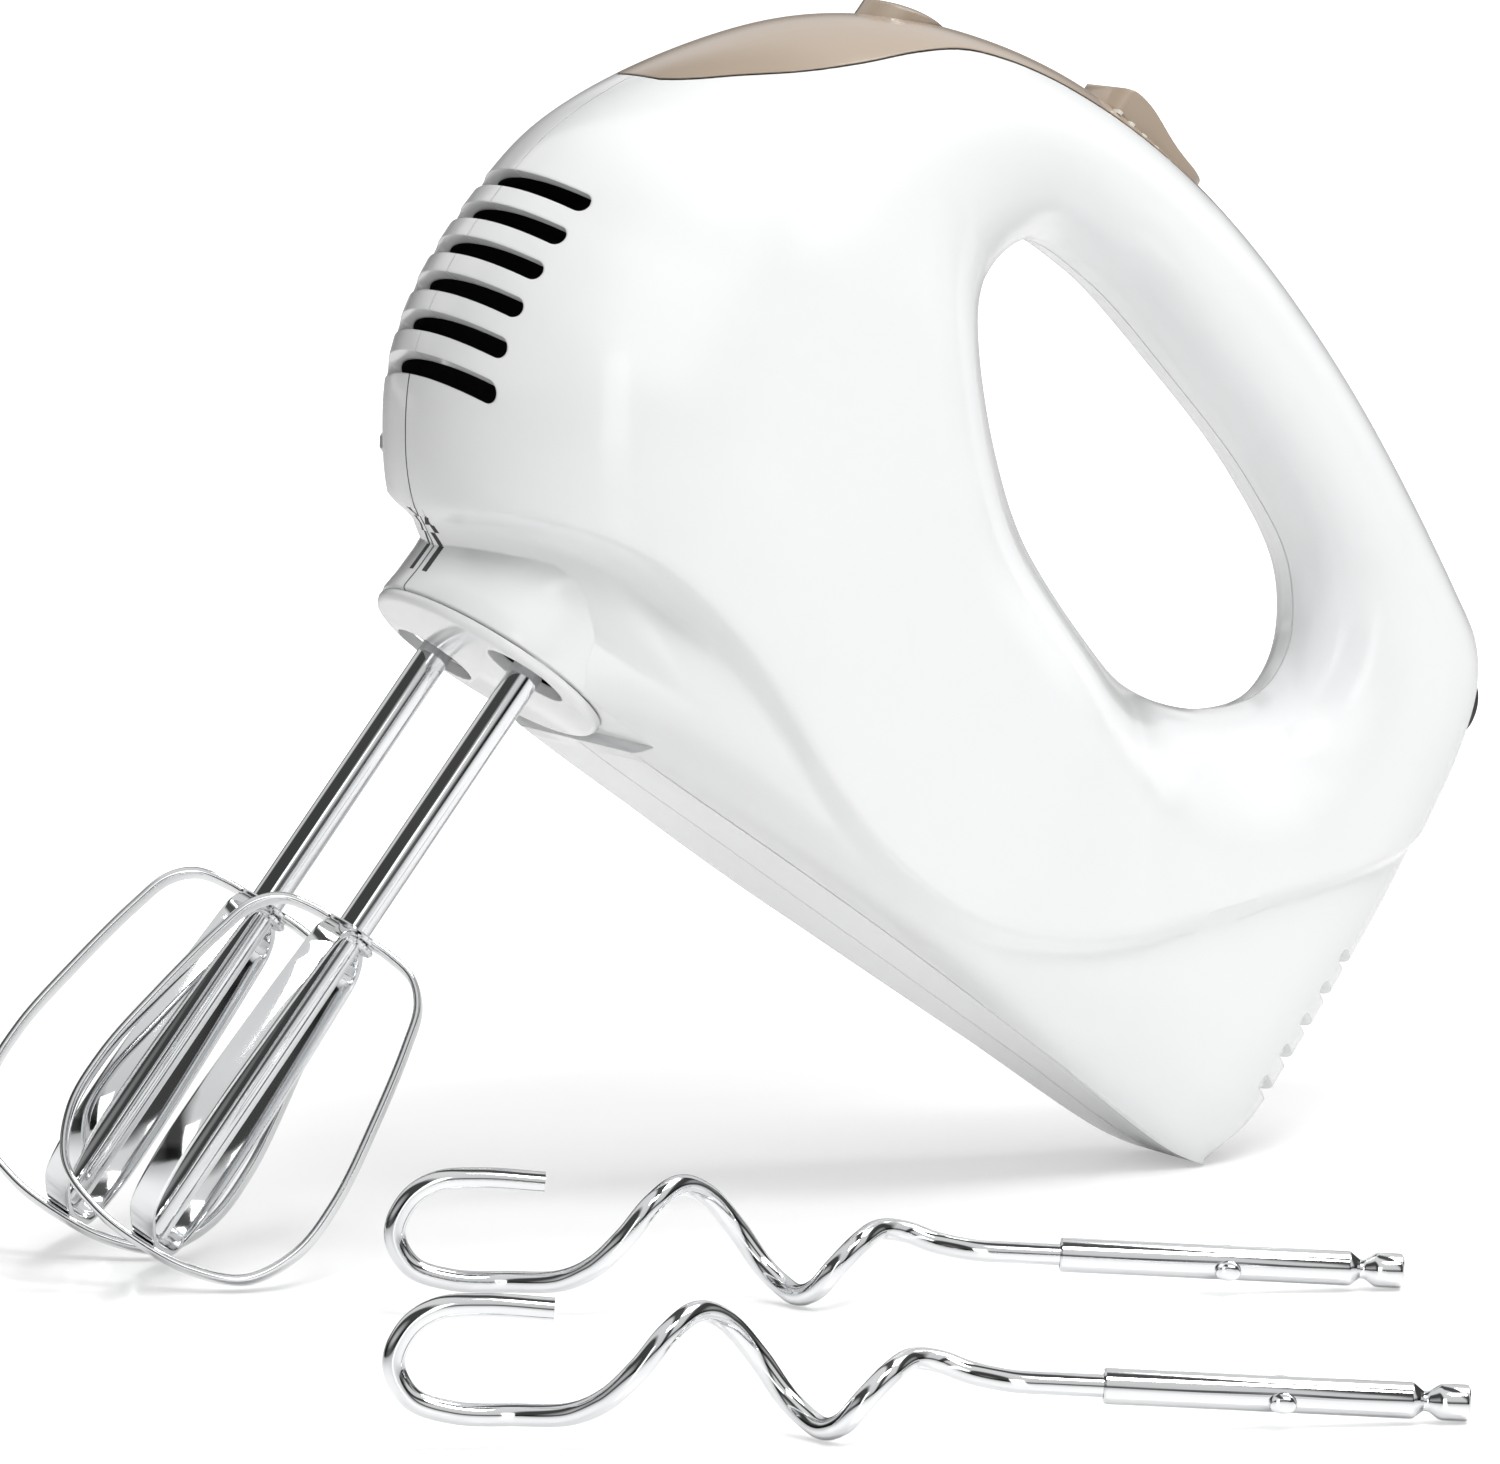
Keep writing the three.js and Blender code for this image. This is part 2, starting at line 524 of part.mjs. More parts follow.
/** The worm's thread: a round ridge wound about the motor shaft. */
class Thread extends THREE.Curve {
  constructor(radius, pitch, turns) {
    super();
    Object.assign(this, { radius, pitch, turns });
  }

  getPoint(t, target = V()) {
    const angle = 2 * Math.PI * this.turns * (t - 0.5);
    const [y, z] = [this.radius * Math.sin(angle), this.radius * Math.cos(angle)];
    return target.set(this.pitch * this.turns * (t - 0.5), y, z);
  }
}

const WORM_PITCH = 2 * Math.PI * (SPACING / 2 - WORM_R) / GEAR_TEETH;

/** A round wire along a curve. */
function wire(curve, radius, steps, sides) {
  const section = new THREE.Shape();
  section.absarc(0, 0, radius, 0, 2 * Math.PI, false);
  return new THREE.ExtrudeGeometry(section, { steps, extrudePath: curve, curveSegments: sides / 2 });
}

function makeMotorShaft() {
  const { r, x0, x1 } = SHAFT;
  const core = WORM_R - 0.6;
  const shaft = spun([[0, x0], [r, x0], [r, -12], [core, -11], [core, 11], [r, 12], [r, x1], [0, x1]], 16);
  const thread = wire(new Thread(WORM_R, WORM_PITCH, 5), THREAD_R, 50, 5).translate(0, 0, MOTOR_Z);
  return join(shaft, thread);
}

function makeFan() {
  const bore = SHAFT.r + GAP;
  const hub = spun([[bore, 28.6], [6, 28.6], [6, 30], [17, 30], [17, 31], [bore, 31]], 20);
  const blades = Array.from({ length: 8 }, (_, i) =>
    box(30.5, -0.5, 6.5, 33.4, 0.5, 17).rotateZ(0.2).rotateX(Math.PI * i / 4).translate(0, 0, MOTOR_Z));
  return join(hub, ...blades);
}

const makeBearing = (x0, x1, outer) => spun(
  [[SHAFT.r + 0.16, x0], [outer, x0], [outer, x1], [SHAFT.r + 0.16, x1]], 20);

function makeGearFrame() {
  const { low, plate, front, rear, top } = FRAME;
  const floor = join(
    box(-12, -26.5, low, rear + plate, 26.5, low + plate), box(front, -18, low, -11, 18, low + plate));
  const nose = box(front, -11, low, front + plate, 11, top);
  const back = box(rear, -20, low, rear + plate, 20, top);
  const roof = box(front, -8, top - plate, rear + plate, 8, top);
  const post = rod(4.6, top - 1, 78, 12).translate(-2, 0, 0);
  const bushHoles = [-1, 1].map((side) => rod(7.8, 0, 40, 20).translate(0, side * SPACING / 2, 0));
  const bearing = spun([[0, front - 1], [5.3, front - 1], [5.3, front + 4], [0, front + 4]], 20);
  const passage = spun([[0, rear - 1], [5, rear - 1], [5, rear + 5], [0, rear + 5]], 20);
  return cut(join(floor, nose, back, roof, post), ...bushHoles, bearing, passage);
}

function makeRearBracket() {
  const plate = box(BRACKET_X, -22, MOTOR_Z - 16, BRACKET_X + 3, 22, MOTOR_Z + 12);
  const boss = spun([[0, BRACKET_X], [9, BRACKET_X], [9, BRACKET_X + 7], [0, BRACKET_X + 7]], 20);
  const bore = spun([[0, 80], [6.3, 80], [6.3, 100], [0, 100]], 20);
  return cut(join(plate, boss), bore);
}

const BRUSH_X = 76.8;

function makeBrushHolder(side) {
  const [y0, y1] = [side * 9.8, side * 24].sort((a, b) => a - b);
  const [b0, b1] = [side * 9, side * 22.6].sort((a, b) => a - b);
  const outer = box(BRUSH_X - 4.6, y0, MOTOR_Z - 4.2, BRUSH_X + 4.6, y1, MOTOR_Z + 4.2);
  const inner = box(BRUSH_X - 3.4, b0, MOTOR_Z - 3, BRUSH_X + 3.4, b1, MOTOR_Z + 3);
  return cut(outer, inner);
}

function makeBrush(side) {
  const [y0, y1] = [side * 8.3, side * 15.5].sort((a, b) => a - b);
  return box(BRUSH_X - 3, y0, MOTOR_Z - 2.6, BRUSH_X + 3, y1, MOTOR_Z + 2.6);
}

/** A coil spring standing on z = 0. */
function coilSpring(radius, wireR, length, turns, sides = 6) {
  class Coil extends THREE.Curve {
    getPoint(t, target = V()) {
      const angle = 2 * Math.PI * turns * t;
      const rise = wireR + (length - 2 * wireR) * t;
      return target.set(radius * Math.cos(angle), radius * Math.sin(angle), rise);
    }
  }
  return wire(new Coil(), wireR, turns * 8, sides);
}

function makeBrushSpring(side) {
  return coilSpring(2, 0.35, 6.4, 3, 4)
    .rotateX(-side * Math.PI / 2).translate(BRUSH_X, side * 15.8, MOTOR_Z);
}

/** A worm gear with its hollow hub, which takes the beater's shank. */
function makeSpindle(side) {
  const root = GEAR_TIP_R - 2.1;
  const shape = new THREE.Shape();
  for (let i = 0; i < GEAR_TEETH; i += 1) {
    const middle = i * TOOTH;
    [[root, -0.33], [GEAR_TIP_R, -0.13], [GEAR_TIP_R, 0.13], [root, 0.33]].forEach(([radius, share], k) => {
      const angle = middle + share * TOOTH;
      const [x, y] = [radius * Math.cos(angle), radius * Math.sin(angle)];
      if (i === 0 && k === 0) shape.moveTo(x, y);
      else shape.lineTo(x, y);
    });
  }
  shape.closePath();
  const face = 6;
  const wheel = new THREE.ExtrudeGeometry(shape, { depth: face, bevelEnabled: false })
    .translate(0, 0, -face / 2);
  const lead = Math.atan(WORM_PITCH / (2 * Math.PI * WORM_R));
  const p = wheel.attributes.position;
  for (let i = 0; i < p.count; i += 1) {
    const twist = -p.getZ(i) * Math.tan(lead) / (SPACING / 2 - WORM_R);
    const [x, y] = [p.getX(i), p.getY(i)];
    p.setXY(i, x * Math.cos(twist) - y * Math.sin(twist), x * Math.sin(twist) + y * Math.cos(twist));
  }
  // A tooth gap faces the worm's thread where the thread is at its highest towards this gear.
  const phase = -side * Math.PI / 2;
  wheel.rotateZ(phase + GEAR_PHASE[side < 0 ? 0 : 1]).translate(0, 0, MOTOR_Z);
  const hub = rod(5.2, 5, 50, 16);
  const socket = rod(3.15, 4, 51, 12);
  const slot = box(-5.6, -1.1, 4, 5.6, 1.1, 11).rotateZ(WING_TURN);
  return geometryOf(cut(join(wheel, hub), socket, slot)).translate(0, side * SPACING / 2, 0);
}

const makeBush = (side) =>
  ring(5.36, 7.5, FRAME.low - 2, FRAME.low + 7, 16).translate(0, side * SPACING / 2, 0);
const makeClip = (side) => ring(5.5, 7, 47.3, 48.3, 16).translate(0, side * SPACING / 2, 0);

// ---- ejector and switch -------------------------------------------------------------------
const SHANK_TOP = 30.6;

function makeEjectorFork() {
  const bar = box(-4, -SPACING / 2 - 3, 99, 4, SPACING / 2 + 3, 103);
  const stem = box(BUTTON.x - 3, -3, 102, BUTTON.x + 3, 3, 111.7);
  const pins = [-1, 1].map((side) =>
    rod(2.3, SHANK_TOP + GAP, 100, 12).translate(0, side * SPACING / 2, 0));
  return join(bar, stem, ...pins);
}

const makeEjectorSpring = () => coilSpring(3.4, 0.5, 20.4, 6, 4).translate(-2, 0, 78.3);

const makeSwitchBlock = () => cut(box(38, -6.6, 118, 70, 6.6, 123.6), box(40, -4.6, 121, 68, 4.6, 125));
const makeSwitchWiper = () =>
  join(box(42, -4, 124, 50, 4, 125.3),
    box(43, -3, 122.6, 49, -1.4, 124.5), box(43, 1.4, 122.6, 49, 3, 124.5));

// ---- beaters ------------------------------------------------------------------------------
const WING_TURN = THREE.MathUtils.degToRad(-35);   // direction of the first ribbon loop
const RIBBON = { width: 4.4, thick: 1 };
const BEATER_FOOT = -107.8;
const EYE = { inner: SHAFT_R + 0.25, outer: 4.8 };   // eye by which a loop sits on the shaft
/** Right half of a ribbon loop as [distance from the shaft, height]. */
const WING = [
  [0, -50], [7, -50], [12.4, -51.2], [15.8, -54.6], [17.8, -61], [20.4, -74], [22.3, -88],
  [21.6, -98], [17.2, -105.8], [9, -109.2], [0, -110],
];

/** A ribbon loop with an eye at its top; the inset keeps two crossing loops apart. */
function makeRibbon(turn, inset) {
  const shift = (r, z) => (r < 13 ? Math.sign(z + 80) * -inset : 0);
  const right = WING.map(([r, z]) => new THREE.Vector2(r, z + shift(r, z)));
  const left = right.slice(1, -1).reverse().map((p) => new THREE.Vector2(-p.x, p.y));
  const points = [...right, ...left].map((p) => V(p.x, 0, p.y));
  const loop = new THREE.CatmullRomCurve3(points, true, 'centripetal');
  const count = 28;
  const line = loop.getSpacedPoints(count).slice(0, count);
  const outline = (offset) => line.map((p, i) => {
    const along = line[(i + 1) % count].clone().sub(line[(i + count - 1) % count]).normalize();
    return new THREE.Vector2(p.x - along.z * offset, p.z + along.x * offset);
  });
  const shape = new THREE.Shape(outline(RIBBON.thick / 2).reverse());
  shape.holes.push(new THREE.Path(outline(-RIBBON.thick / 2).reverse()));
  const band = new THREE.ExtrudeGeometry(shape, { depth: RIBBON.width, bevelEnabled: false })
    .translate(0, 0, -RIBBON.width / 2).rotateX(Math.PI / 2).rotateZ(turn);
  const top = WING[0][1] - inset;
  const eye = rod(EYE.outer, top - RIBBON.thick / 2, top + RIBBON.thick / 2, 14);
  return cut(join(band, eye), rod(EYE.inner, top - 5, 0, 14));
}

function makeBeaterShaft() {
  const shaft = turned([[0, BEATER_FOOT], [SHAFT_R - 0.6, BEATER_FOOT], [SHAFT_R, BEATER_FOOT + 0.6],
    [SHAFT_R, 22], [1.7, 23.4], [1.7, 26], [SHAFT_R, 27.2], [SHAFT_R, SHANK_TOP - 0.5],
    [SHAFT_R - 0.5, SHANK_TOP], [0, SHANK_TOP]], 14);
  return join(shaft, box(-4.6, -0.75, 6.4, 4.6, 0.75, 10.4).rotateZ(WING_TURN));
}

// ---- dough hooks --------------------------------------------------------------------------
const HOOK = { wire: 1.7, sleeve: 2.7, sleeveStart: 8.4, sleeveEnd: 53.6 };
// The sleeve slopes down to its tip by this much when the hook lies flat.
const HOOK_TILT = THREE.MathUtils.degToRad(4.46);

/** Centre line as [distance from the tip, height over the sleeve's axis, depth off the axis]. */
const HOOK_LINE = [
  [45, 0, 0], [52, 0, 0], [60, 0, 0], [67, 0, 0.5], [73, 0.6, 2.5], [77.5, 1.9, 3.1], [81.6, 2.4, 1.2],
  [85, 0.9, -3.2], [88.6, -2.8, -5.2], [91.4, -6.6, -3.8], [94, -8.2, -0.4], [96.6, -7.4, 3.6],
  [99.8, -4.8, 6.4], [104, 0.6, 7.2], [109, 6.2, 4], [113.5, 8.2, -1], [117.6, 5.6, -5.2],
  [121.5, 0.6, -6.6], [126, -4.4, -5.2], [131, -7.4, -2.4], [139, -8.4, 0], [148.1, -8.5, 0],
  [154.4, -6.6, 0], [157.2, -1.6, 0], [155.2, 3.8, 0], [151, 6.8, 0], [144, 7.7, 0], [134.2, 7.5, 0],
];

function makeHookWire() {
  const line = new THREE.CatmullRomCurve3(HOOK_LINE.map(([a, v, w]) => V(-a, w, v)), false, 'centripetal');
  return wire(line, HOOK.wire, 46, 6);
}

function makeHookSleeve() {
  const { sleeve, sleeveStart, sleeveEnd } = HOOK;
  const outline = [[0, 0], [2.5, 0], [2.7, 0.3], [2.7, 4.2], [1.5, 6], [1.5, 6.8], [sleeve, sleeveStart],
    [sleeve, sleeveEnd], [HOOK.wire + GAP, sleeveEnd], [HOOK.wire + GAP, 44], [0, 44]];
  const tube = turned(outline, 12).rotateY(-Math.PI / 2);
  const lugs = box(-29.6, -1.4, -4.4, -25.4, 1.4, 4.4).rotateX(1.83);
  return join(tube, lugs);
}

// ---- assembly -----------------------------------------------------------------------------
const plain = (colour, roughness = 0.4, metalness = 0) =>
  new THREE.MeshStandardMaterial({ color: colour, roughness, metalness });
const white = plain(0xf2f2f2, 0.15);
const taupe = plain(0xb0a08c, 0.25);
const chrome = plain(0xc8c8c8, 0.12, 1);
const steel = plain(0x9a9c9e, 0.35, 1);
const copper = plain(0xb4713c, 0.35, 1);
const nylon = plain(0xe6e2d6, 0.5);
const dark = plain(0x2c2c2e, 0.5);
const brass = plain(0xc0a050, 0.35, 1);

function place(parent, name, shape, material) {
  const geometry = shape.isBufferGeometry ? geometryOf(solidOf(shape)) : geometryOf(shape);
  const mesh = new THREE.Mesh(geometry, material);
  mesh.name = name;
  parent.add(mesh);
  return mesh;
}

const mixer = new THREE.Group();
place(mixer, 'housing_left', makeHousing(-1), white);
place(mixer, 'housing_right', makeHousing(1), white);
place(mixer, 'top_cover', makeTopCover(), taupe);
place(mixer, 'collar_plate', makeCollarPlate(), white);
place(mixer, 'eject_button', makeButton(), taupe);
place(mixer, 'speed_slider', makeKnob(), taupe);
place(mixer, 'cord_gland', makeGland(), dark);
SCREWS.forEach((at, i) => place(mixer, `housing_screw_${i + 1}`, makeScrew(at), steel));

place(mixer, 'stator_core', makeStator(), steel);
place(mixer, 'armature_core', makeArmatureCore(), steel);
place(mixer, 'winding_front', makeWindingEnd(34.8, 38.6), copper);
place(mixer, 'winding_rear', makeWindingEnd(65.4, 70), copper);
place(mixer, 'commutator', makeCommutator(), copper);
place(mixer, 'motor_shaft', makeMotorShaft(), steel);
place(mixer, 'cooling_fan', makeFan(), dark);
place(mixer, 'bearing_front', makeBearing(FRAME.front - 0.5, FRAME.front + 3.5, 5), brass);
place(mixer, 'bearing_rear', makeBearing(BRACKET_X, BRACKET_X + 6, 6), brass);
place(mixer, 'gear_frame', makeGearFrame(), nylon);
place(mixer, 'rear_bracket', makeRearBracket(), nylon);
place(mixer, 'ejector_fork', makeEjectorFork(), nylon);
place(mixer, 'ejector_spring', makeEjectorSpring(), steel);
place(mixer, 'switch_block', makeSwitchBlock(), dark);
place(mixer, 'switch_wiper', makeSwitchWiper(), brass);

for (const [side, name] of [[-1, 'left'], [1, 'right']]) {
  const at = side * SPACING / 2;
  place(mixer, `field_coil_${name}`, makeFieldCoil(side), copper);
  place(mixer, `brush_holder_${name}`, makeBrushHolder(side), brass);
  place(mixer, `carbon_brush_${name}`, makeBrush(side), dark);
  place(mixer, `brush_spring_${name}`, makeBrushSpring(side), steel);
  place(mixer, `worm_gear_${name}`, makeSpindle(side), nylon);
  place(mixer, `spindle_bush_${name}`, makeBush(side), brass);
  place(mixer, `spindle_clip_${name}`, makeClip(side), steel);
  const beater = new THREE.Group();
  beater.position.y = at;
  place(beater, `beater_${name}_shaft`, makeBeaterShaft(), chrome);
  place(beater, `beater_${name}_loop_a`, makeRibbon(WING_TURN, 0), chrome);
  place(beater, `beater_${name}_loop_b`, makeRibbon(WING_TURN + Math.PI / 2, 1.3), chrome);
  mixer.add(beater);
}

const model = new THREE.Group();
mixer.rotation.y = LEAN;
model.add(mixer);

// The two hooks lie in front of the mixer, tips to the right. Tips are given from the mixer's origin.
const HOOKS = [[96.4, -128.3], [50.8, -228.5]];
const HOOK_TURN = THREE.MathUtils.degToRad(-25);
HOOKS.forEach(([x, y], i) => {
  const hook = new THREE.Group();
  place(hook, `hook_${i + 1}_wire`, makeHookWire(), chrome);
  place(hook, `hook_${i + 1}_sleeve`, makeHookSleeve(), chrome);
  hook.rotation.set(0, HOOK_TILT, HOOK_TURN, 'ZYX');
  hook.position.set(x, y, 0);
  model.add(hook);
});

// Everything stands on the floor, and the origin is the middle of the whole footprint.
const measure = (object) => new THREE.Box3().setFromObject(object, true);
model.updateMatrixWorld(true);
model.children.forEach((child) => child.position.setZ(child.position.z - measure(child).min.z));
model.updateMatrixWorld(true);
const middle = measure(model).getCenter(V());
model.children.forEach((child) => child.position.sub(V(middle.x, middle.y, 0)));

export default model;
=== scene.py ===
"""Looks of a hand mixer with its beaters in and two loose dough hooks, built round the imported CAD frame.

The mixer's shells, cover, collar, beaters and hooks are rebuilt finely here and stand for their CAD nodes.
Mixer pieces are made in millimetres in the mixer's own frame: x from nose to heel, z up along the beater
shafts, origin midway between the shafts on the collar's lower face. MIXER takes them to the row frame.
"""

import json
import math

import bmesh
import bpy
import numpy as np
from mathutils import Matrix, Vector
from mathutils.bvhtree import BVHTree


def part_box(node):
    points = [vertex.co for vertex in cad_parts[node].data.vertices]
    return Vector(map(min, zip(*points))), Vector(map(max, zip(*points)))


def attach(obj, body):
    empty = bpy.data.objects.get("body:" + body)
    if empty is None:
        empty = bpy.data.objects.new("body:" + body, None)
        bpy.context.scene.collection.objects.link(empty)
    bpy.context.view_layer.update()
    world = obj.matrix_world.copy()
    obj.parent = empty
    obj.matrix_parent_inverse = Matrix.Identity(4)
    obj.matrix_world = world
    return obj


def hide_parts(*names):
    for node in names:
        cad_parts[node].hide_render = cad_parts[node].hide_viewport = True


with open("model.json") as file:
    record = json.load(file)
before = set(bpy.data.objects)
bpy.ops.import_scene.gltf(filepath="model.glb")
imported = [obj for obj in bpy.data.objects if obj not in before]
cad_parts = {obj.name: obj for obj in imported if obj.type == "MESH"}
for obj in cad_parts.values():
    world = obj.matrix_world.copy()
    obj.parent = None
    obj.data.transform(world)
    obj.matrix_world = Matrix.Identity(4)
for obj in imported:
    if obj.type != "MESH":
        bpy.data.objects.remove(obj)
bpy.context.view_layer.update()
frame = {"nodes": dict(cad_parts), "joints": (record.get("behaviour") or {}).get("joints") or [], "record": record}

# ---- the mixer's own frame, from the joints --------------------------------------------------
MM = 0.001
JOINT = {j["name"]: j for j in frame["joints"]}
X_AXIS = Vector(JOINT["motor_spin"]["axis"])
Z_AXIS = Vector(JOINT["spindle_left_spin"]["axis"])
Y_AXIS = Z_AXIS.cross(X_AXIS)
MOTOR_Z = 40        # height of the motor's axis over the origin
SPINDLES = [Vector(JOINT[f"spindle_{side}_spin"]["pos_m"]) for side in ("left", "right")]
SPACING = (SPINDLES[1] - SPINDLES[0]).length / MM
ORIGIN = (SPINDLES[0] + SPINDLES[1]) / 2 - Z_AXIS * MOTOR_Z * MM
TURN = Matrix((X_AXIS, Y_AXIS, Z_AXIS)).transposed().to_4x4()
MIXER = Matrix.Translation(ORIGIN) @ TURN @ Matrix.Scale(MM, 4)

SHAFT_R = 2.75      # beater shaft
GAP = 0.3           # between neighbouring pieces
SEAM = GAP / 2      # from each housing half to the centre plane
WALL = 2.4          # housing
COVER_WALL = 3.2

# ---- housing outline and widths, as in the CAD source ----------------------------------------
HOLE_CENTRE = (77, 88)
NOSE = [(-18.6, 10.3), (-26, 14.5), (-32.5, 21), (-39.5, 32), (-43.3, 46), (-44, 60), (-42.2, 76)]
CROWN = [(-35, 93), (-19.8, 114.4), (-7, 125), (7.5, 132), (24, 136.6), (40, 138), (58, 137),
         (79, 133.4), (100, 127.4), (121, 119.3), (138, 111.6), (146.5, 107), (151.6, 101)]
REAR = [(155.3, 91), (158, 76), (160, 60), (160.7, 45), (160.9, 30), (160.6, 18), (157.6, 9.2)]
UNDERSIDE = [(150, 6), (118, 4.4), (86, 3), (54, 1.6), (22, 0.3), (2, 0.9)]
HOLE = [(37.5, 112), (33, 104), (34, 95), (40, 86.5), (51, 77.5), (64, 70), (80, 65), (97, 64),
        (112, 69), (120.5, 78), (120.5, 87.5), (112, 98.5), (97, 105.2), (75, 110.3), (52, 113.8)]
COVER_EDGE = [(-36.5, 90.6), (-33, 93.6), (-28, 98.4), (-21, 104.6), (-14, 111.4), (-6, 119.4), (2, 125.6),
              (10, 129.2), (18, 131.6), (28, 133.6), (40, 135), (54, 135.2), (66, 134), (79, 132)]

COLUMNS = 420       # round the ring-shaped body
ROWS_ABOVE = 36     # from the hole to the shoulder line
ROWS_BELOW = 42     # from the shoulder line to the outline
THINNEST = 0.02     # half width left along the outline, so that the two sides stay apart


def through(points):
    """A smooth function of one variable through given (x, value) points."""
    xs, ys = np.array(points, float).T
    before = np.r_[0, np.arange(len(xs) - 1)]
    after = np.r_[np.arange(1, len(xs)), len(xs) - 1]
    slope = (ys[after] - ys[before]) / (xs[after] - xs[before])

    def value(x):
        x = np.clip(x, xs[0], xs[-1])
        i = np.clip(np.searchsorted(xs, x, side="right") - 1, 0, len(xs) - 2)
        span = xs[i + 1] - xs[i]
        t = (x - xs[i]) / span
        start = (1 + 2 * t) * (1 - t) ** 2 * ys[i] + t * (1 - t) ** 2 * span * slope[i]
        return start + t * t * (3 - 2 * t) * ys[i + 1] + t * t * (t - 1) * span * slope[i + 1]
    return value


def smooth(a, b, x):
    """0 at a, 1 at b, with a soft start and stop; b may lie below a."""
    s = np.clip((np.asarray(x, float) - a) / (b - a), 0, 1)
    return s * s * (3 - 2 * s)


def rounded(x, power=2.1):
    """Quarter of a superellipse: 0 at the edge, 1 once x reaches 1."""
    return (1 - (1 - np.clip(x, 0, 1)) ** power) ** (1 / power)


# Height of the shoulder line that runs from the nose down and up again to the rear.
SHOULDER = through([(-26, 14.5), (-16, 20.5), (-4, 24), (8, 24.2), (20, 22.4), (32, 18.8), (45, 14.2),
                    (58, 11), (73, 10.4), (87, 13.4), (100, 19.7), (112, 28), (127, 42), (141, 57.5),
                    (152, 71), (158, 80)])
SHOULDER_WIDTH = 4.5    # over which the side steps in below that line
SHOULDER_STEP = through([(-10, 8), (5, 7), (18, 4.8), (34, 3.4), (52, 2.6), (160, 1.8)])
BASE_HALF_WIDTH = through([(0, 20), (26, 21.5), (60, 23.3), (80, 22.8), (106, 19), (139, 13.3), (158, 10)])
# The rest of the side goes by direction round the hole's centre, in degrees from the x axis.
HALF_WIDTH = through([(-60, 30), (-44, 22), (-20, 18.5), (0, 18), (45, 18), (90, 18.5), (120, 19.5),
                      (134, 22), (156, 31), (177, 38.5), (190, 41), (250, 41), (275, 39), (300, 30),
                      (316, 22), (340, 18.5)])
EDGE_ROUND = through([(-20, 16), (0, 16), (30, 14), (60, 12.5), (110, 13), (134, 24), (156, 42), (180, 46)])
BULGE = through([(-60, 0.9), (-30, 0.4), (0, 0.1), (60, 0), (115, 0), (140, 0.8), (160, 1), (300, 0.9),
                 (330, 0.4)])
# How far the dished border of the hole reaches.
LIP = through([(-60, 21), (-30, 25), (0, 26), (60, 22), (110, 22), (150, 32), (175, 27), (200, 25),
               (225, 23), (250, 19), (270, 18.5), (290, 19.5), (300, 21)])
LIP_CREASE = 0.82       # below 1 the border meets the side in a crease
FLARE_POWER, FLARE_REACH = 3.2, 0.96    # how the side rounds over into the base


def base_z(x):
    """Height of the flat underside."""
    return 0.3 + 0.0443 * (x - 22)


def closed_curve(points, count):
    """Evenly spaced points on a closed centripetal Catmull-Rom curve."""
    p = np.array(points, float)
    dense = []
    for i in range(len(p)):
        p0, p1, p2, p3 = (p[(i + k) % len(p)] for k in (-1, 0, 1, 2))
        d0, d1, d2 = (math.sqrt(np.linalg.norm(b - a)) for a, b in ((p0, p1), (p1, p2), (p2, p3)))
        m1 = ((p1 - p0) / d0 - (p2 - p0) / (d0 + d1) + (p2 - p1) / d1) * d1
        m2 = ((p2 - p1) / d1 - (p3 - p1) / (d1 + d2) + (p3 - p2) / d2) * d1
        t = np.linspace(0, 1, 60, endpoint=False)[:, None]
        dense.append((2 * t**3 - 3 * t**2 + 1) * p1 + (t**3 - 2 * t**2 + t) * m1
                     + (3 * t**2 - 2 * t**3) * p2 + (t**3 - t**2) * m2)
    return resample(np.concatenate(dense), count, closed=True)


def open_curve(points, count):
    """Evenly spaced points on an open Catmull-Rom curve."""
    p = np.array(points, float)
    p = np.concatenate([[2 * p[0] - p[1]], p, [2 * p[-1] - p[-2]]])
    dense = []
    for i in range(1, len(p) - 2):
        p0, p1, p2, p3 = p[i - 1:i + 3]
        d0, d1, d2 = (math.sqrt(np.linalg.norm(b - a)) for a, b in ((p0, p1), (p1, p2), (p2, p3)))
        m1 = ((p1 - p0) / d0 - (p2 - p0) / (d0 + d1) + (p2 - p1) / d1) * d1
        m2 = ((p2 - p1) / d1 - (p3 - p1) / (d1 + d2) + (p3 - p2) / d2) * d1
        t = np.linspace(0, 1, 24, endpoint=i == len(p) - 3)[:, None]
        dense.append((2 * t**3 - 3 * t**2 + 1) * p1 + (t**3 - 2 * t**2 + t) * m1
                     + (3 * t**2 - 2 * t**3) * p2 + (t**3 - t**2) * m2)
    return resample(np.concatenate(dense), count, closed=False)


def resample(points, count, closed):
    """Points at equal steps along a line."""
    if closed:
        points = np.concatenate([points, points[:1]])
    steps = np.r_[0, np.cumsum(np.linalg.norm(np.diff(points, axis=0), axis=1))]
    wanted = np.linspace(0, steps[-1], count, endpoint=not closed)
    return np.stack([np.interp(wanted, steps, points[:, k]) for k in range(points.shape[1])], axis=1)


OUTLINE = closed_curve(NOSE + CROWN + REAR + UNDERSIDE, COLUMNS)
nose_x = through([(z, x) for x, z in NOSE])
rear_x = through([(z, x) for x, z in reversed(REAR)])


def hole_edge(angle):
    """Distance from the hole's centre to its edge in a given direction."""
    ring = closed_curve(HOLE, 1440) - HOLE_CENTRE
    at = np.arctan2(ring[:, 1], ring[:, 0])
    order = np.argsort(at)
    return np.interp(angle, at[order], np.hypot(*ring.T)[order], period=2 * math.pi)


def spokes():
    """Start and end of each column's line, from the hole's edge to the outline, and its direction."""
    away = OUTLINE - HOLE_CENTRE
    angle = np.arctan2(away[:, 1], away[:, 0])
    start = HOLE_CENTRE + hole_edge(angle)[:, None] * np.stack([np.cos(angle), np.sin(angle)], axis=1)
    return start, OUTLINE, np.degrees(angle)


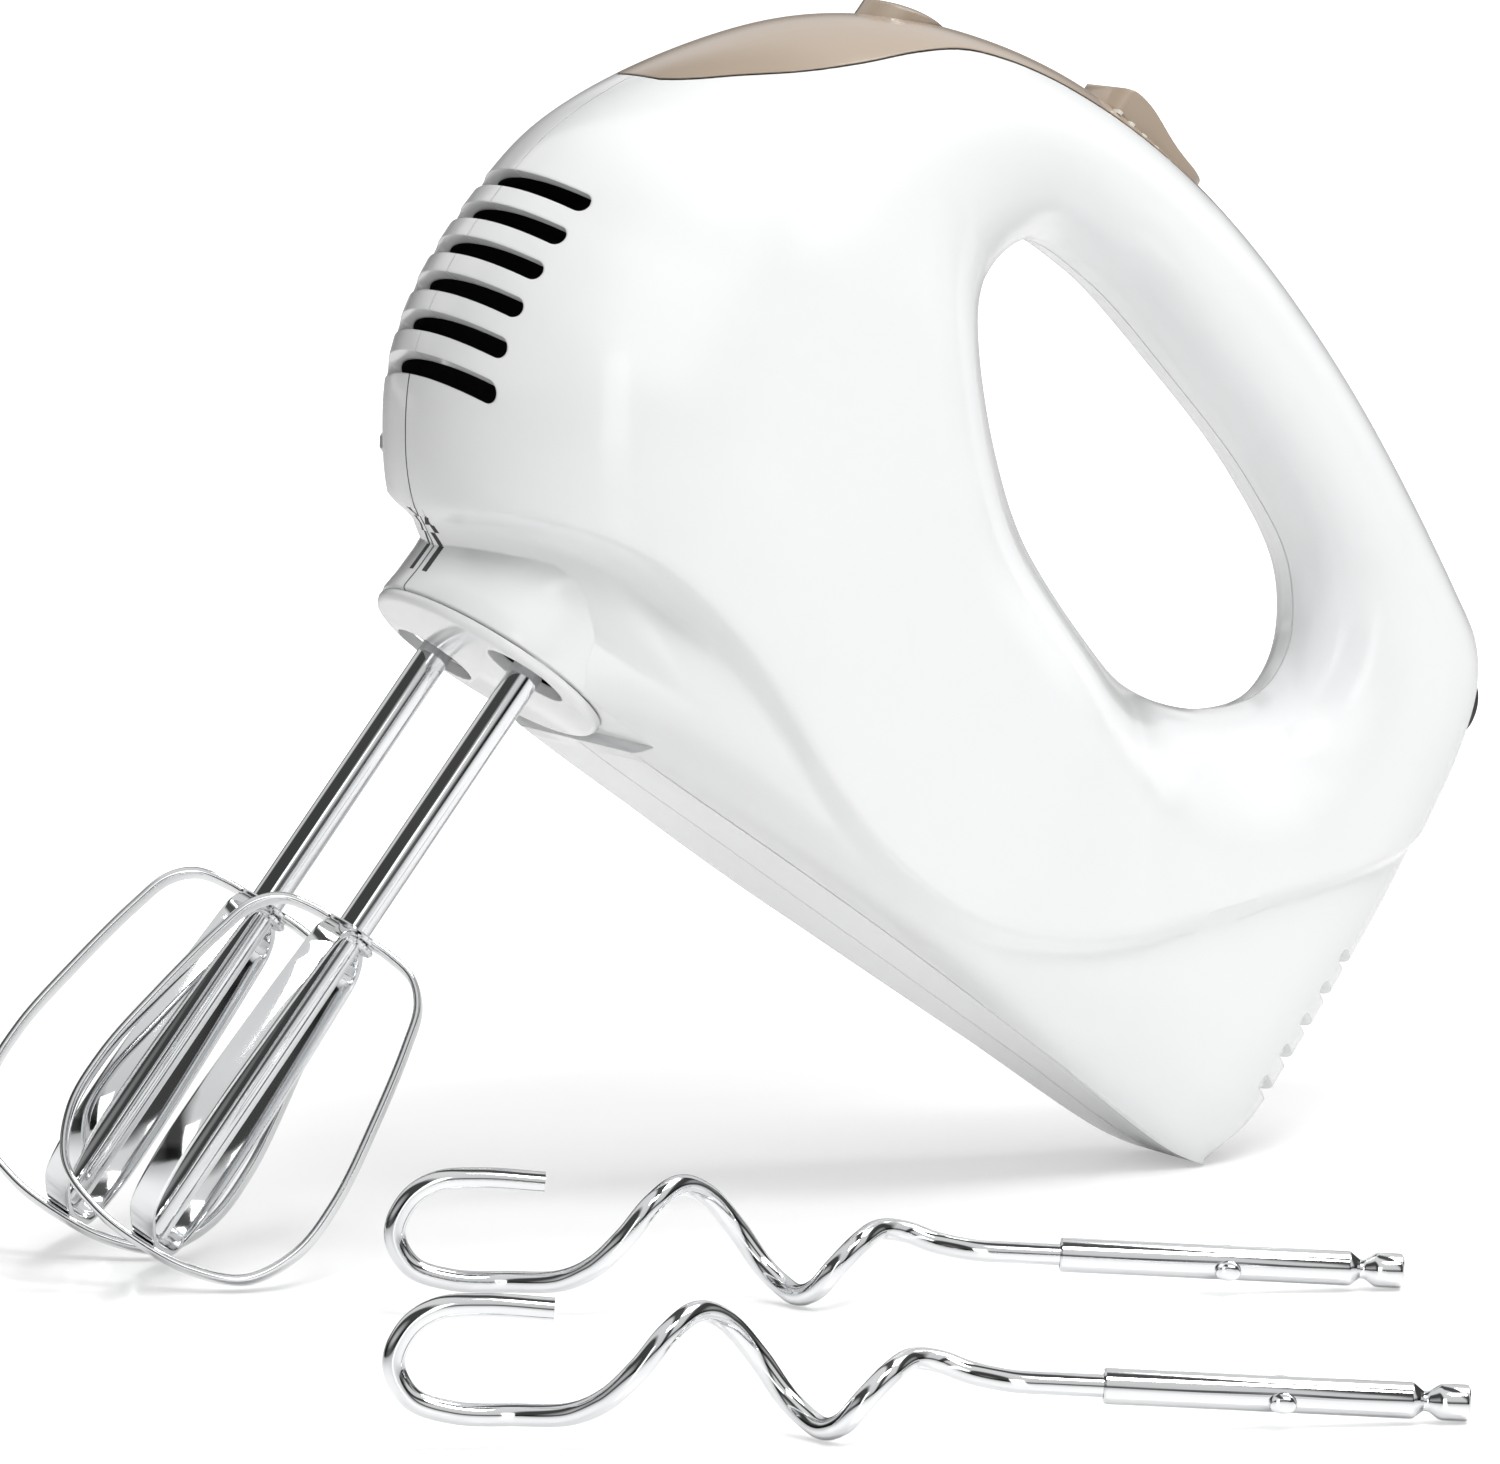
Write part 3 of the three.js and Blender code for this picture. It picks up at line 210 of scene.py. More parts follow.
def half_width(x, z, inside, outside, degrees):
    """Half width at a place on a spoke, inside mm from the hole and outside mm from the outline."""
    length = inside + outside
    turned_degrees = np.where(degrees < -60, degrees + 360, degrees)
    bulge = BULGE(turned_degrees)
    lip = np.minimum(LIP(turned_degrees), length / 2)
    dish = 0.12 * bulge
    crease = 1 - (1 - LIP_CREASE) * np.minimum(bulge, 1)
    border = rounded(np.clip(inside / lip, 0, 1) * crease) / rounded(crease)
    from_hole = (1 - dish) * border + dish * smooth(0, 60, inside)
    over_top = rounded(outside / np.minimum(EDGE_ROUND(turned_degrees), length / 2))
    in_plan = rounded((x - nose_x(z)) / 46) * rounded((rear_x(z) - x) / 16)
    low = smooth(182, 205, turned_degrees) + smooth(-2, -22, np.where(degrees < -90, 0, degrees))
    low = np.minimum(low, 1)
    from_edge = over_top * (1 - low) + in_plan * low
    low_nose = smooth(0, 1, (48 - z) / 36) * smooth(0, 1, (40 - x) / 60)
    widest = HALF_WIDTH(turned_degrees) * (1 - 0.14 * low_nose)
    half = widest * from_hole * from_edge
    below = SHOULDER(x) - z
    room = np.maximum(SHOULDER(x) - base_z(x), 0.1)
    stepped = half - SHOULDER_STEP(x) * smooth(0, 1, below / np.minimum(SHOULDER_WIDTH, 0.7 * room))
    share = np.clip(below / room, 0, 1)
    flare_end = (1 - FLARE_REACH ** FLARE_POWER) ** (1 / FLARE_POWER)
    flare = (1 - (FLARE_REACH * share) ** FLARE_POWER) ** (1 / FLARE_POWER)
    fall = (flare - flare_end) / (1 - flare_end)
    base = np.minimum(BASE_HALF_WIDTH(x), stepped)
    under = base + (stepped - base) * fall
    return np.maximum(np.where((below > 0) & (x > -26), under, half), 0)


def side_rows():
    """The near side's outer surface as a grid of columns by rows, from the hole's edge to the outline."""
    start, end, degrees = spokes()
    length = np.linalg.norm(end - start, axis=1)
    low = np.full(COLUMNS, 0.3)
    high = np.ones(COLUMNS)
    for _ in range(24):
        t = (low + high) / 2
        x, z = (start + (end - start) * t[:, None]).T
        above = z > SHOULDER(x)
        low = np.where(above, t, low)
        high = np.where(above, high, t)
    plain = smooth(-8, 12, degrees) + smooth(-158, -172, degrees)
    shoulder = np.clip(low, 0.3, 0.86) * (1 - np.clip(plain, 0, 1)) + 0.6 * np.clip(plain, 0, 1)
    s = np.linspace(0, 1, ROWS_ABOVE + 1)[:-1]
    upper = 0.45 * s + 0.55 * (1 - np.cos(s * math.pi / 2))
    s = np.linspace(0, 1, ROWS_BELOW + 1)
    lower = np.sin(s * math.pi / 2)
    shoulder = shoulder[:, None]
    t = np.concatenate([shoulder * upper, shoulder + (1 - shoulder) * lower], axis=1)
    place = start[:, None] + (end - start)[:, None] * t[..., None]
    x, z = place[..., 0], place[..., 1]
    half = half_width(x, z, t * length[:, None], (1 - t) * length[:, None], degrees[:, None])
    half[:, 1:] = np.maximum(half[:, 1:], THINNEST)
    return np.stack([x, -half, z], axis=-1)


NEAR = side_rows()


def body_grid(inset=0.0):
    """The whole outer surface as a closed grid, moved inwards by inset."""
    far = NEAR[:, ::-1] * (1, -1, 1)
    grid = np.concatenate([NEAR, far[:, :-1]], axis=1)
    if not inset:
        return grid
    along = np.roll(grid, -1, axis=0) - np.roll(grid, 1, axis=0)
    across = np.roll(grid, -1, axis=1) - np.roll(grid, 1, axis=1)
    normal = np.cross(along, across)
    normal /= np.maximum(np.linalg.norm(normal, axis=-1, keepdims=True), 1e-9)
    centre_out = grid - np.array([HOLE_CENTRE[0], 0, HOLE_CENTRE[1]])
    if (normal * centre_out)[:, len(NEAR[0]) // 2].sum() < 0:
        normal = -normal
    return grid - inset * normal


# ---- mesh tools ------------------------------------------------------------------------------
def mesh_from(vertices, faces):
    """A mesh whose faces all look outwards."""
    mesh = bpy.data.meshes.new("shape")
    mesh.from_pydata([tuple(v) for v in vertices], [], [tuple(int(i) for i in f) for f in faces])
    tidy = bmesh.new()
    tidy.from_mesh(mesh)
    bmesh.ops.remove_doubles(tidy, verts=tidy.verts, dist=1e-5)
    bmesh.ops.dissolve_degenerate(tidy, edges=tidy.edges, dist=1e-6)
    bmesh.ops.recalc_face_normals(tidy, faces=tidy.faces)
    if tidy.calc_volume(signed=True) < 0:
        bmesh.ops.reverse_faces(tidy, faces=tidy.faces)
    tidy.to_mesh(mesh)
    tidy.free()
    return mesh


def grid_mesh(grid, close_rows=True, close_columns=True, caps=False):
    """A surface over a grid of points; caps closes the first and last column with a face."""
    columns, rows = grid.shape[:2]
    index = np.arange(columns * rows).reshape(columns, rows)
    c = np.arange(columns if close_columns else columns - 1)
    r = np.arange(rows if close_rows else rows - 1)
    cc, rr = np.meshgrid(c, r, indexing="ij")
    c2, r2 = (cc + 1) % columns, (rr + 1) % rows
    quads = np.stack([index[cc, rr], index[c2, rr], index[c2, r2], index[cc, r2]], axis=-1)
    faces = [list(q) for q in quads.reshape(-1, 4)]
    if caps:
        faces += [list(index[0]), list(index[-1][::-1])]
    return mesh_from(grid.reshape(-1, 3), faces)


def turned(outline, segments=64):
    """A solid of revolution about +Z from a (radius, z) outline that ends on the axis or closes on itself."""
    profile = np.array(outline, float)
    angle = np.linspace(0, 2 * math.pi, segments, endpoint=False)
    grid = np.stack([np.outer(np.cos(angle), profile[:, 0]), np.outer(np.sin(angle), profile[:, 0]),
                     np.tile(profile[:, 1], (segments, 1))], axis=-1)
    on_axis = profile[0, 0] == 0 and profile[-1, 0] == 0
    return grid_mesh(grid, close_rows=not on_axis)


def prism(outline, axis, low, high):
    """A flat outline made solid between two places along an axis: 0 for x, 1 for y, 2 for z."""
    flat = np.array(outline, float)
    grid = np.stack([np.insert(flat, axis, place, axis=1) for place in (low, high)])
    return grid_mesh(grid, close_columns=False, caps=True)


def slab(outline, y0, y1):
    """A flat (x, z) outline made solid between two y values."""
    return prism(outline, 1, y0, y1)


def block(x0, y0, z0, x1, y1, z1):
    """A box given by its lowest and highest corner."""
    return slab([(x0, z0), (x1, z0), (x1, z1), (x0, z1)], y0, y1)


def rod(radius, z0, z1, segments=64):
    """A cylinder along +Z."""
    return turned([(0, z0), (radius, z0), (radius, z1), (0, z1)], segments)


def moved(mesh, matrix):
    """The mesh put in another place, its faces still looking outwards."""
    mesh.transform(matrix)
    if matrix.determinant() < 0:
        mesh.flip_normals()
    return mesh


def swept(points, section, up=None):
    """A closed tube of a (u, v) section along an open or closed path; up fixes the section's v axis."""
    closed = np.linalg.norm(points[0] - points[-1]) < 1e-6
    path = points[:-1] if closed else points
    if closed:
        tangent = np.roll(path, -1, axis=0) - np.roll(path, 1, axis=0)
    else:
        tangent = np.gradient(path, axis=0)
    tangent /= np.linalg.norm(tangent, axis=1, keepdims=True)
    if up is not None:
        side = np.cross(tangent, np.array(up, float))
    else:
        side = np.zeros_like(path)
        side[0] = np.cross(tangent[0], [0, 0.3, 1])
        for i in range(1, len(path)):
            side[i] = side[i - 1] - tangent[i] * np.dot(side[i - 1], tangent[i])
    side /= np.linalg.norm(side, axis=1, keepdims=True)
    rise = np.cross(side, tangent)
    grid = path[:, None] + side[:, None] * section[None, :, :1] + rise[:, None] * section[None, :, 1:]
    return grid_mesh(grid, close_columns=closed, caps=not closed)


def circle(radius, sides):
    """Outline of a circle about its middle."""
    angle = np.linspace(0, 2 * math.pi, sides, endpoint=False)
    return np.stack([radius * np.cos(angle), radius * np.sin(angle)], axis=1)


def rounded_rectangle(width, height, radius, steps=4):
    """Outline of a rectangle with rounded corners, about its middle."""
    points = []
    for corner, (sx, sy) in enumerate(((1, 1), (-1, 1), (-1, -1), (1, -1))):
        for k in range(steps + 1):
            angle = math.pi / 2 * (corner + k / steps)
            points.append((sx * (width / 2 - radius) + radius * math.cos(angle),
                           sy * (height / 2 - radius) + radius * math.sin(angle)))
    return np.array(points)


def combined(base, others, how):
    """base joined with, cut by or limited to the other meshes."""
    body = bpy.data.objects.new("work", base)
    bpy.context.scene.collection.objects.link(body)
    tools = []
    for other in others:
        tool = bpy.data.objects.new("tool", other)
        bpy.context.scene.collection.objects.link(tool)
        tools.append(tool)
        step = body.modifiers.new("step", "BOOLEAN")
        step.operation = how
        step.solver = "MANIFOLD"
        step.object = tool
    bpy.context.view_layer.update()
    finished = body.evaluated_get(bpy.context.evaluated_depsgraph_get())
    made = bpy.data.meshes.new_from_object(finished)
    for item in (body, *tools):
        bpy.data.objects.remove(item)
    return made


def merged(meshes):
    """Several meshes as one, without joining their solids."""
    whole = bmesh.new()
    for mesh in meshes:
        whole.from_mesh(mesh)
    out = bpy.data.meshes.new("merged")
    whole.to_mesh(out)
    whole.free()
    return out


def piece(name, mesh, material, body, nodes=(), matrix=MIXER, angle=32):
    """A finished piece: smooth-shaded, in the row frame, riding on its body."""
    mesh = moved(mesh, matrix)
    mesh.name = name
    mesh.polygons.foreach_set("use_smooth", [True] * len(mesh.polygons))
    mesh.set_sharp_from_angle(angle=math.radians(angle))
    obj = bpy.data.objects.new(name, mesh)
    bpy.context.scene.collection.objects.link(obj)
    mesh.materials.clear()
    mesh.materials.append(material)
    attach(obj, body)
    if nodes:
        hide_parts(*nodes)
    return obj


# ---- materials -------------------------------------------------------------------------------
def start_material(name):
    """A material with its nodes, links and shader."""
    material = bpy.data.materials.new(name)
    material.use_nodes = True
    nodes = material.node_tree.nodes
    return material, nodes, material.node_tree.links, nodes["Principled BSDF"]


def noise(nodes, links, scale, detail=3.0, stretch=(1, 1, 1)):
    """Noise over the object's own coordinates, scale in waves per metre."""
    where = nodes.new("ShaderNodeTexCoord")
    mapping = nodes.new("ShaderNodeMapping")
    mapping.inputs["Scale"].default_value = stretch
    texture = nodes.new("ShaderNodeTexNoise")
    texture.inputs["Scale"].default_value = scale
    texture.inputs["Detail"].default_value = detail
    links.new(where.outputs["Object"], mapping.inputs["Vector"])
    links.new(mapping.outputs["Vector"], texture.inputs["Vector"])
    return texture


def ramp(nodes, links, source, stops):
    """A colour ramp from [(place, grey or colour), ...]."""
    node = nodes.new("ShaderNodeValToRGB")
    elements = node.color_ramp.elements
    while len(elements) < len(stops):
        elements.new(0.5)
    for element, (place, colour) in zip(elements, stops):
        element.position = place
        element.color = (*colour, 1) if isinstance(colour, tuple) else (colour, colour, colour, 1)
    links.new(source, node.inputs["Fac"])
    return node


def moulded(name, colour, shade, rough, coat=0.0, grain=0.00002, edge=0.0):
    """Moulded plastic: slight mottling of the colour, uneven gloss and a faint orange-peel surface."""
    material, nodes, links, shader = start_material(name)
    mottle = ramp(nodes, links, noise(nodes, links, 14).outputs["Fac"], [(0.3, shade), (0.7, colour)])
    links.new(mottle.outputs["Color"], shader.inputs["Base Color"])
    gloss = ramp(nodes, links, noise(nodes, links, 60).outputs["Fac"],
                 [(0.35, rough * 0.85), (0.7, rough * 1.2)])
    links.new(gloss.outputs["Color"], shader.inputs["Roughness"])
    bump = nodes.new("ShaderNodeBump")
    bump.inputs["Strength"].default_value = 0.25
    bump.inputs["Distance"].default_value = grain
    links.new(noise(nodes, links, 420, 2).outputs["Fac"], bump.inputs["Height"])
    if edge:
        bevel = nodes.new("ShaderNodeBevel")
        bevel.samples = 4
        bevel.inputs["Radius"].default_value = edge
        links.new(bevel.outputs["Normal"], bump.inputs["Normal"])
    links.new(bump.outputs["Normal"], shader.inputs["Normal"])
    shader.inputs["Coat Weight"].default_value = coat
    shader.inputs["Coat Roughness"].default_value = 0.05
    shader.inputs["IOR"].default_value = 1.5
    return material


def metal(name, colour, shade, rough, scale=30, stretch=(1, 1, 1)):
    """Metal with a faint uneven polish."""
    material, nodes, links, shader = start_material(name)
    shader.inputs["Metallic"].default_value = 1.0
    texture = noise(nodes, links, scale, 4, stretch)
    tone = ramp(nodes, links, texture.outputs["Fac"], [(0.3, shade), (0.65, colour)])
    links.new(tone.outputs["Color"], shader.inputs["Base Color"])
    polish = ramp(nodes, links, texture.outputs["Fac"], [(0.3, rough * 0.7), (0.7, rough * 1.4)])
    links.new(polish.outputs["Color"], shader.inputs["Roughness"])
    bump = nodes.new("ShaderNodeBump")
    bump.inputs["Strength"].default_value = 0.3
    bump.inputs["Distance"].default_value = 0.00001
    links.new(noise(nodes, links, scale * 20, 2, stretch).outputs["Fac"], bump.inputs["Height"])
    links.new(bump.outputs["Normal"], shader.inputs["Normal"])
    return material


def laminated(name, colour, shade):
    """Stacked steel sheets seen on edge."""
    material, nodes, links, shader = start_material(name)
    shader.inputs["Metallic"].default_value = 1.0
    shader.inputs["Roughness"].default_value = 0.42
    where = nodes.new("ShaderNodeTexCoord")
    mapping = nodes.new("ShaderNodeMapping")
    mapping.inputs["Rotation"].default_value = (0, math.atan2(-X_AXIS.z, X_AXIS.x), 0)
    wave = nodes.new("ShaderNodeTexWave")
    wave.inputs["Scale"].default_value = 320
    wave.inputs["Distortion"].default_value = 0.4
    links.new(where.outputs["Object"], mapping.inputs["Vector"])
    links.new(mapping.outputs["Vector"], wave.inputs["Vector"])
    tone = ramp(nodes, links, wave.outputs["Fac"], [(0.2, shade), (0.8, colour)])
    links.new(tone.outputs["Color"], shader.inputs["Base Color"])
    bump = nodes.new("ShaderNodeBump")
    bump.inputs["Distance"].default_value = 0.0001
    links.new(wave.outputs["Fac"], bump.inputs["Height"])
    links.new(bump.outputs["Normal"], shader.inputs["Normal"])
    return material


def wound(name, colour, shade):
    """Enamelled copper wire laid side by side."""
    material, nodes, links, shader = start_material(name)
    shader.inputs["Metallic"].default_value = 0.85
    shader.inputs["Roughness"].default_value = 0.3
    shader.inputs["Coat Weight"].default_value = 0.5
    where = nodes.new("ShaderNodeTexCoord")
    wave = nodes.new("ShaderNodeTexWave")
    wave.wave_type = "BANDS"
    wave.bands_direction = "DIAGONAL"
    wave.inputs["Scale"].default_value = 400
    wave.inputs["Distortion"].default_value = 1.2
    links.new(where.outputs["Object"], wave.inputs["Vector"])
    tone = ramp(nodes, links, wave.outputs["Fac"], [(0.15, shade), (0.6, colour)])
    links.new(tone.outputs["Color"], shader.inputs["Base Color"])
    bump = nodes.new("ShaderNodeBump")
    bump.inputs["Distance"].default_value = 0.0002
    links.new(wave.outputs["Fac"], bump.inputs["Height"])
    links.new(bump.outputs["Normal"], shader.inputs["Normal"])
    return material


WHITE = moulded("white_gloss", (0.86, 0.865, 0.87), (0.84, 0.845, 0.85), 0.16, coat=0.4, edge=0.0005)
# Near-black painted shade for the inside of the white shells, which is really the same white plastic.
PAINTED_INSIDE_SHADE = moulded("shell_inside_painted_shade", (0.045, 0.045, 0.05), (0.03, 0.03, 0.035), 0.6)
TAUPE = moulded("taupe_gloss", (0.42, 0.34, 0.265), (0.395, 0.318, 0.247), 0.22, coat=0.3, edge=0.0005)
PALE = moulded("pale_print", (0.75, 0.72, 0.66), (0.7, 0.67, 0.6), 0.5)
CHROME = metal("chrome_plate", (0.80, 0.81, 0.82), (0.72, 0.73, 0.74), 0.06)
RUBBER = moulded("black_rubber", (0.02, 0.02, 0.02), (0.03, 0.03, 0.03), 0.55)
ZINC = metal("zinc_screw", (0.55, 0.56, 0.58), (0.38, 0.39, 0.41), 0.32, 90)
IRON = laminated("lamination_steel", (0.42, 0.43, 0.45), (0.16, 0.16, 0.17))
STEEL = metal("shaft_steel", (0.62, 0.63, 0.65), (0.5, 0.51, 0.53), 0.22, 60, (1, 8, 1))
WINDING = wound("copper_winding", (0.72, 0.30, 0.10), (0.22, 0.07, 0.02))
COPPER = metal("commutator_copper", (0.75, 0.42, 0.25), (0.5, 0.26, 0.14), 0.25, 120)
BRONZE = metal("sintered_bronze", (0.60, 0.44, 0.20), (0.42, 0.30, 0.13), 0.4, 200)
NYLON = moulded("nylon", (0.80, 0.78, 0.68), (0.74, 0.71, 0.60), 0.45)
BLACK = moulded("black_plastic", (0.03, 0.03, 0.032), (0.045, 0.045, 0.048), 0.5)
CARBON = moulded("carbon", (0.05, 0.05, 0.05), (0.02, 0.02, 0.02), 0.7, grain=0.0001)

# Finish of each material slot in the record.
FINISH = {
    "screw_steel": ZINC, "lamination_steel": IRON, "shaft_steel": STEEL, "copper_winding": WINDING,
    "commutator_copper": COPPER, "bronze_bearing": BRONZE, "nylon": NYLON, "black_plastic": BLACK,
    "carbon": CARBON, "chrome_wire": CHROME, "white_shell": WHITE, "taupe_cover": TAUPE,
    "black_rubber": RUBBER,
}
for entry in frame["record"]["subparts"]:
    cad = frame["nodes"][entry["node"]]
    cad.data.materials.clear()
    cad.data.materials.append(FINISH[entry["material_slot"]])
    cad.data.set_sharp_from_angle(angle=math.radians(28))

# ---- housing and cover -----------------------------------------------------------------------
COLLAR_SHAPE = Matrix.Translation((1, 0, 0)) @ Matrix.Diagonal((20 / 26, 1, 1, 1))   # shorter along x
PLATE = 1.8
THROAT_R = 22.8
COLLAR_CUT_X = 21.5         # the collar's lower end is open in front of this
VENT_LOW, VENT_HIGH, VENT_COUNT = 32, 65.5, 6
VENT_HEIGHT, VENT_HALF, VENT_DEPTH = 3.4, 21, -24
GROOVE_LOW, GROOVE_PITCH, GROOVE_COUNT = 24, 6.35, 5
GROOVE_HEIGHT, GROOVE_DEPTH = 2.6, 1.5
HEEL_X = 160.7
GLAND_X, GLAND_Z, GLAND_TILT, GLAND_HOLE = 152.4, 98, math.radians(22), 4.3
SCREWS = [(-22, 88), (-25, 24.5), (104, 22), (146, 26), (140, 88)]
COUNTERBORE = 3.4
BUTTON_X, BUTTON_ALONG, BUTTON_ACROSS = -2.2, 6.9, 6.3
TRACK_X0, TRACK_X1, TRACK_HALF, TRACK_Z = 32.2, 74.5, 8.4, 137.2
SLIDE_SLOPE = math.radians(4.5)
ABOVE = 150                 # clear of the cover's top
# Faces this near the hollow's skin get the near-black painted shade.
INSIDE_REACH = 0.25         # a face this near the hollow's skin belongs to the inside


def track_floor(x):
    """Height of the floor that the speed slider runs on."""
    return TRACK_Z - math.tan(SLIDE_SLOPE) * (x - TRACK_X0)


def cover_zone(clearance):
    """Everything above the cover's edge, moved down by clearance."""
    line = open_curve(COVER_EDGE, 60) - (0, clearance)
    line[0, 0] -= clearance + 3
    line[-1, 0] += clearance
    return slab([*line, (line[-1, 0], ABOVE + 10), (line[0, 0], ABOVE + 10)], -60, 60)


def stem_slot():
    """Cutter for the slot that the speed slider's stem runs in."""
    return block(42.4, -2, 122, 64.4, 2, ABOVE)


def vent(z):
    """Cutter for one rounded slot across the nose."""
    section = rounded_rectangle(2 * VENT_HALF, VENT_HEIGHT, VENT_HEIGHT / 2 - 0.01, 8) + (0, z)
    return prism(section, 0, VENT_DEPTH - 40, VENT_DEPTH)


def groove(z):
    """Cutter for one shallow groove that wraps round the heel."""
    section = rounded_rectangle(16, GROOVE_HEIGHT, 0.9, 5) + (HEEL_X + 0.6, z)
    return combined(slab(section, -40, 40), [grid_mesh(body_grid(GROOVE_DEPTH))], "DIFFERENCE")


def at_gland(mesh):
    """Stand a part made along +Z on the gland's axis in the rear."""
    tilt = Matrix.Rotation(math.pi / 2 - GLAND_TILT, 4, "Y")
    return moved(mesh, Matrix.Translation((GLAND_X, 0, GLAND_Z)) @ tilt)


def collar():
    """The flared collar as a solid with softened edges."""
    low = PLATE + GAP
    outline = [(0, low), (24.9, low), (25.5, low + 0.25), (25.7, low + 0.8), (25.3, 6), (25.1, 11),
               (25.5, 16), (26, 20), (0, 20)]
    return moved(turned(outline, 96), COLLAR_SHAPE)


def evenly(low, high, count):
    return [low + (high - low) * i / (count - 1) for i in range(count)]


def screw_sink(index, x, z):
    """Cutter for a screw's counterbore, which starts just below the outer face of the screw's head."""
    _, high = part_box(f"housing_screw_{index + 1}")
    head_top = (MIXER.inverted() @ high).y
    place = Matrix.Translation((x, head_top - 2.6, z)) @ Matrix.Rotation(-math.pi / 2, 4, "X")
    return moved(rod(COUNTERBORE, 0, 60, 32), place)


def shells():
    """Both housing halves: the body's skin, hollowed, with its collar, vents, grooves and openings."""
    outer = combined(grid_mesh(body_grid()), [collar()], "UNION")
    cutters = [grid_mesh(body_grid(WALL)), cover_zone(SEAM)]
    cutters += [vent(z) for z in evenly(VENT_LOW, VENT_HIGH, VENT_COUNT)]
    cutters += [groove(GROOVE_LOW + GROOVE_PITCH * i) for i in range(GROOVE_COUNT)]
    cutters.append(block(-40, -40, -20, COLLAR_CUT_X, 40, PLATE + GAP))
    cutters.append(moved(rod(THROAT_R, -20, 17, 96), COLLAR_SHAPE))
    cutters.append(stem_slot())
    cutters.append(at_gland(rod(GLAND_HOLE, -5, 8, 40)))
    whole = combined(outer, cutters, "DIFFERENCE")
    left = combined(whole.copy(), [block(-80, -80, -40, 200, -SEAM, 200)], "INTERSECT")
    right = combined(whole, [block(-80, SEAM, -40, 200, 80, 200)], "INTERSECT")
    sinks = [screw_sink(i, x, z) for i, (x, z) in enumerate(SCREWS)]
    return left, combined(right, sinks, "DIFFERENCE")


def paint_inside_shade(shell):
    """Give the faces of the shell's hollow the near-black material: painted shade on what is really the same white
    plastic.
    """
    shell.data.materials.append(PAINTED_INSIDE_SHADE)
    hollow = moved(grid_mesh(body_grid(WALL)), MIXER)
    skin = bmesh.new()
    skin.from_mesh(hollow)
    tree = BVHTree.FromBMesh(skin)
    skin.free()
    for face in shell.data.polygons:
        distance = tree.find_nearest(face.center)[3]
        face.material_index = int(distance < INSIDE_REACH * MM)


# The hollow of each half is painted near-black as shade.
for side, half in zip(("left", "right"), shells()):
    paint_inside_shade(piece(f"shell_{side}", half, WHITE, "mixer_body", [f"housing_{side}"]))


def cover():
    """The top cover with the button's opening, the slider's track and its slot."""
    outer = combined(grid_mesh(body_grid()), [cover_zone(-SEAM)], "INTERSECT")
    opening = moved(rod(1, 100, ABOVE, 80),
                    Matrix.Translation((BUTTON_X, 0, 0))
                    @ Matrix.Diagonal((BUTTON_ALONG + GAP, BUTTON_ACROSS + GAP, 1, 1)))
    track = slab([(TRACK_X0, track_floor(TRACK_X0)), (TRACK_X1, track_floor(TRACK_X1)), (TRACK_X1, ABOVE),
                  (TRACK_X0, ABOVE)], -TRACK_HALF, TRACK_HALF)
    return combined(outer, [grid_mesh(body_grid(COVER_WALL)), opening, track, stem_slot()], "DIFFERENCE")


piece("cover", cover(), TAUPE, "mixer_body", ["top_cover"])


def collar_plate():
    """The plate that closes the collar, with an opening for each beater."""
    outline = [(0, 0), (24.2, 0), (24.8, 0.2), (25.3, 0.7), (25.55, 1.3), (25.5, PLATE), (0, PLATE)]
    disc = moved(turned(outline, 96), COLLAR_SHAPE)
    holes = [moved(rod(7.1, -1, 3), Matrix.Translation((0, side * SPACING / 2, 0))) for side in (-1, 1)]
    return combined(disc, holes, "DIFFERENCE")


piece("collar_disc", collar_plate(), WHITE, "mixer_body", ["collar_plate"])

# ---- button, slider, marks and gland ---------------------------------------------------------
BUTTON_SLOPE = math.radians(26)
BUTTON_Z = 127.4
KNOB_HALF = 7.6             # half width of the slider's thumb piece
MARK_COUNT, MARK_X0, MARK_PITCH = 5, 34.5, 3
MARK_Y = 10.6


def button():
    """The eject button: an oval plug under a sloping dome."""
    arc = [(math.cos(a), math.sin(a)) for a in np.linspace(0, math.pi / 2, 24)[:-1]]
    dome = moved(turned([(0, -3), (1, -3), *arc, (0, 1)], 96),
                 Matrix.Translation((BUTTON_X - 1.8, 0, BUTTON_Z - 3.7))
                 @ Matrix.Rotation(-BUTTON_SLOPE, 4, "Y") @ Matrix.Diagonal((12, 10.5, 5, 1)))
    plug = moved(rod(1, 112, ABOVE, 96),
                 Matrix.Translation((BUTTON_X, 0, 0)) @ Matrix.Diagonal((BUTTON_ALONG, BUTTON_ACROSS, 1, 1)))
    return combined(plug, [dome], "INTERSECT")


def bezier(points, steps=14):
    """Points on a Bezier curve with three or four control points."""
    t = np.linspace(0, 1, steps)[:, None]
    if len(points) == 3:
        a, b, c = np.array(points)
        return (1 - t) ** 2 * a + 2 * t * (1 - t) * b + t * t * c
    a, b, c, d = np.array(points)
    return (1 - t) ** 3 * a + 3 * t * (1 - t) ** 2 * b + 3 * t * t * (1 - t) * c + t**3 * d


def half_oval(x, reach, start):
    """Half an oval in plan that reaches out along x and spans the knob's width."""
    turn = np.linspace(start, -start, 24)
    return [(x + reach * math.cos(a), KNOB_HALF * math.sin(a)) for a in turn]


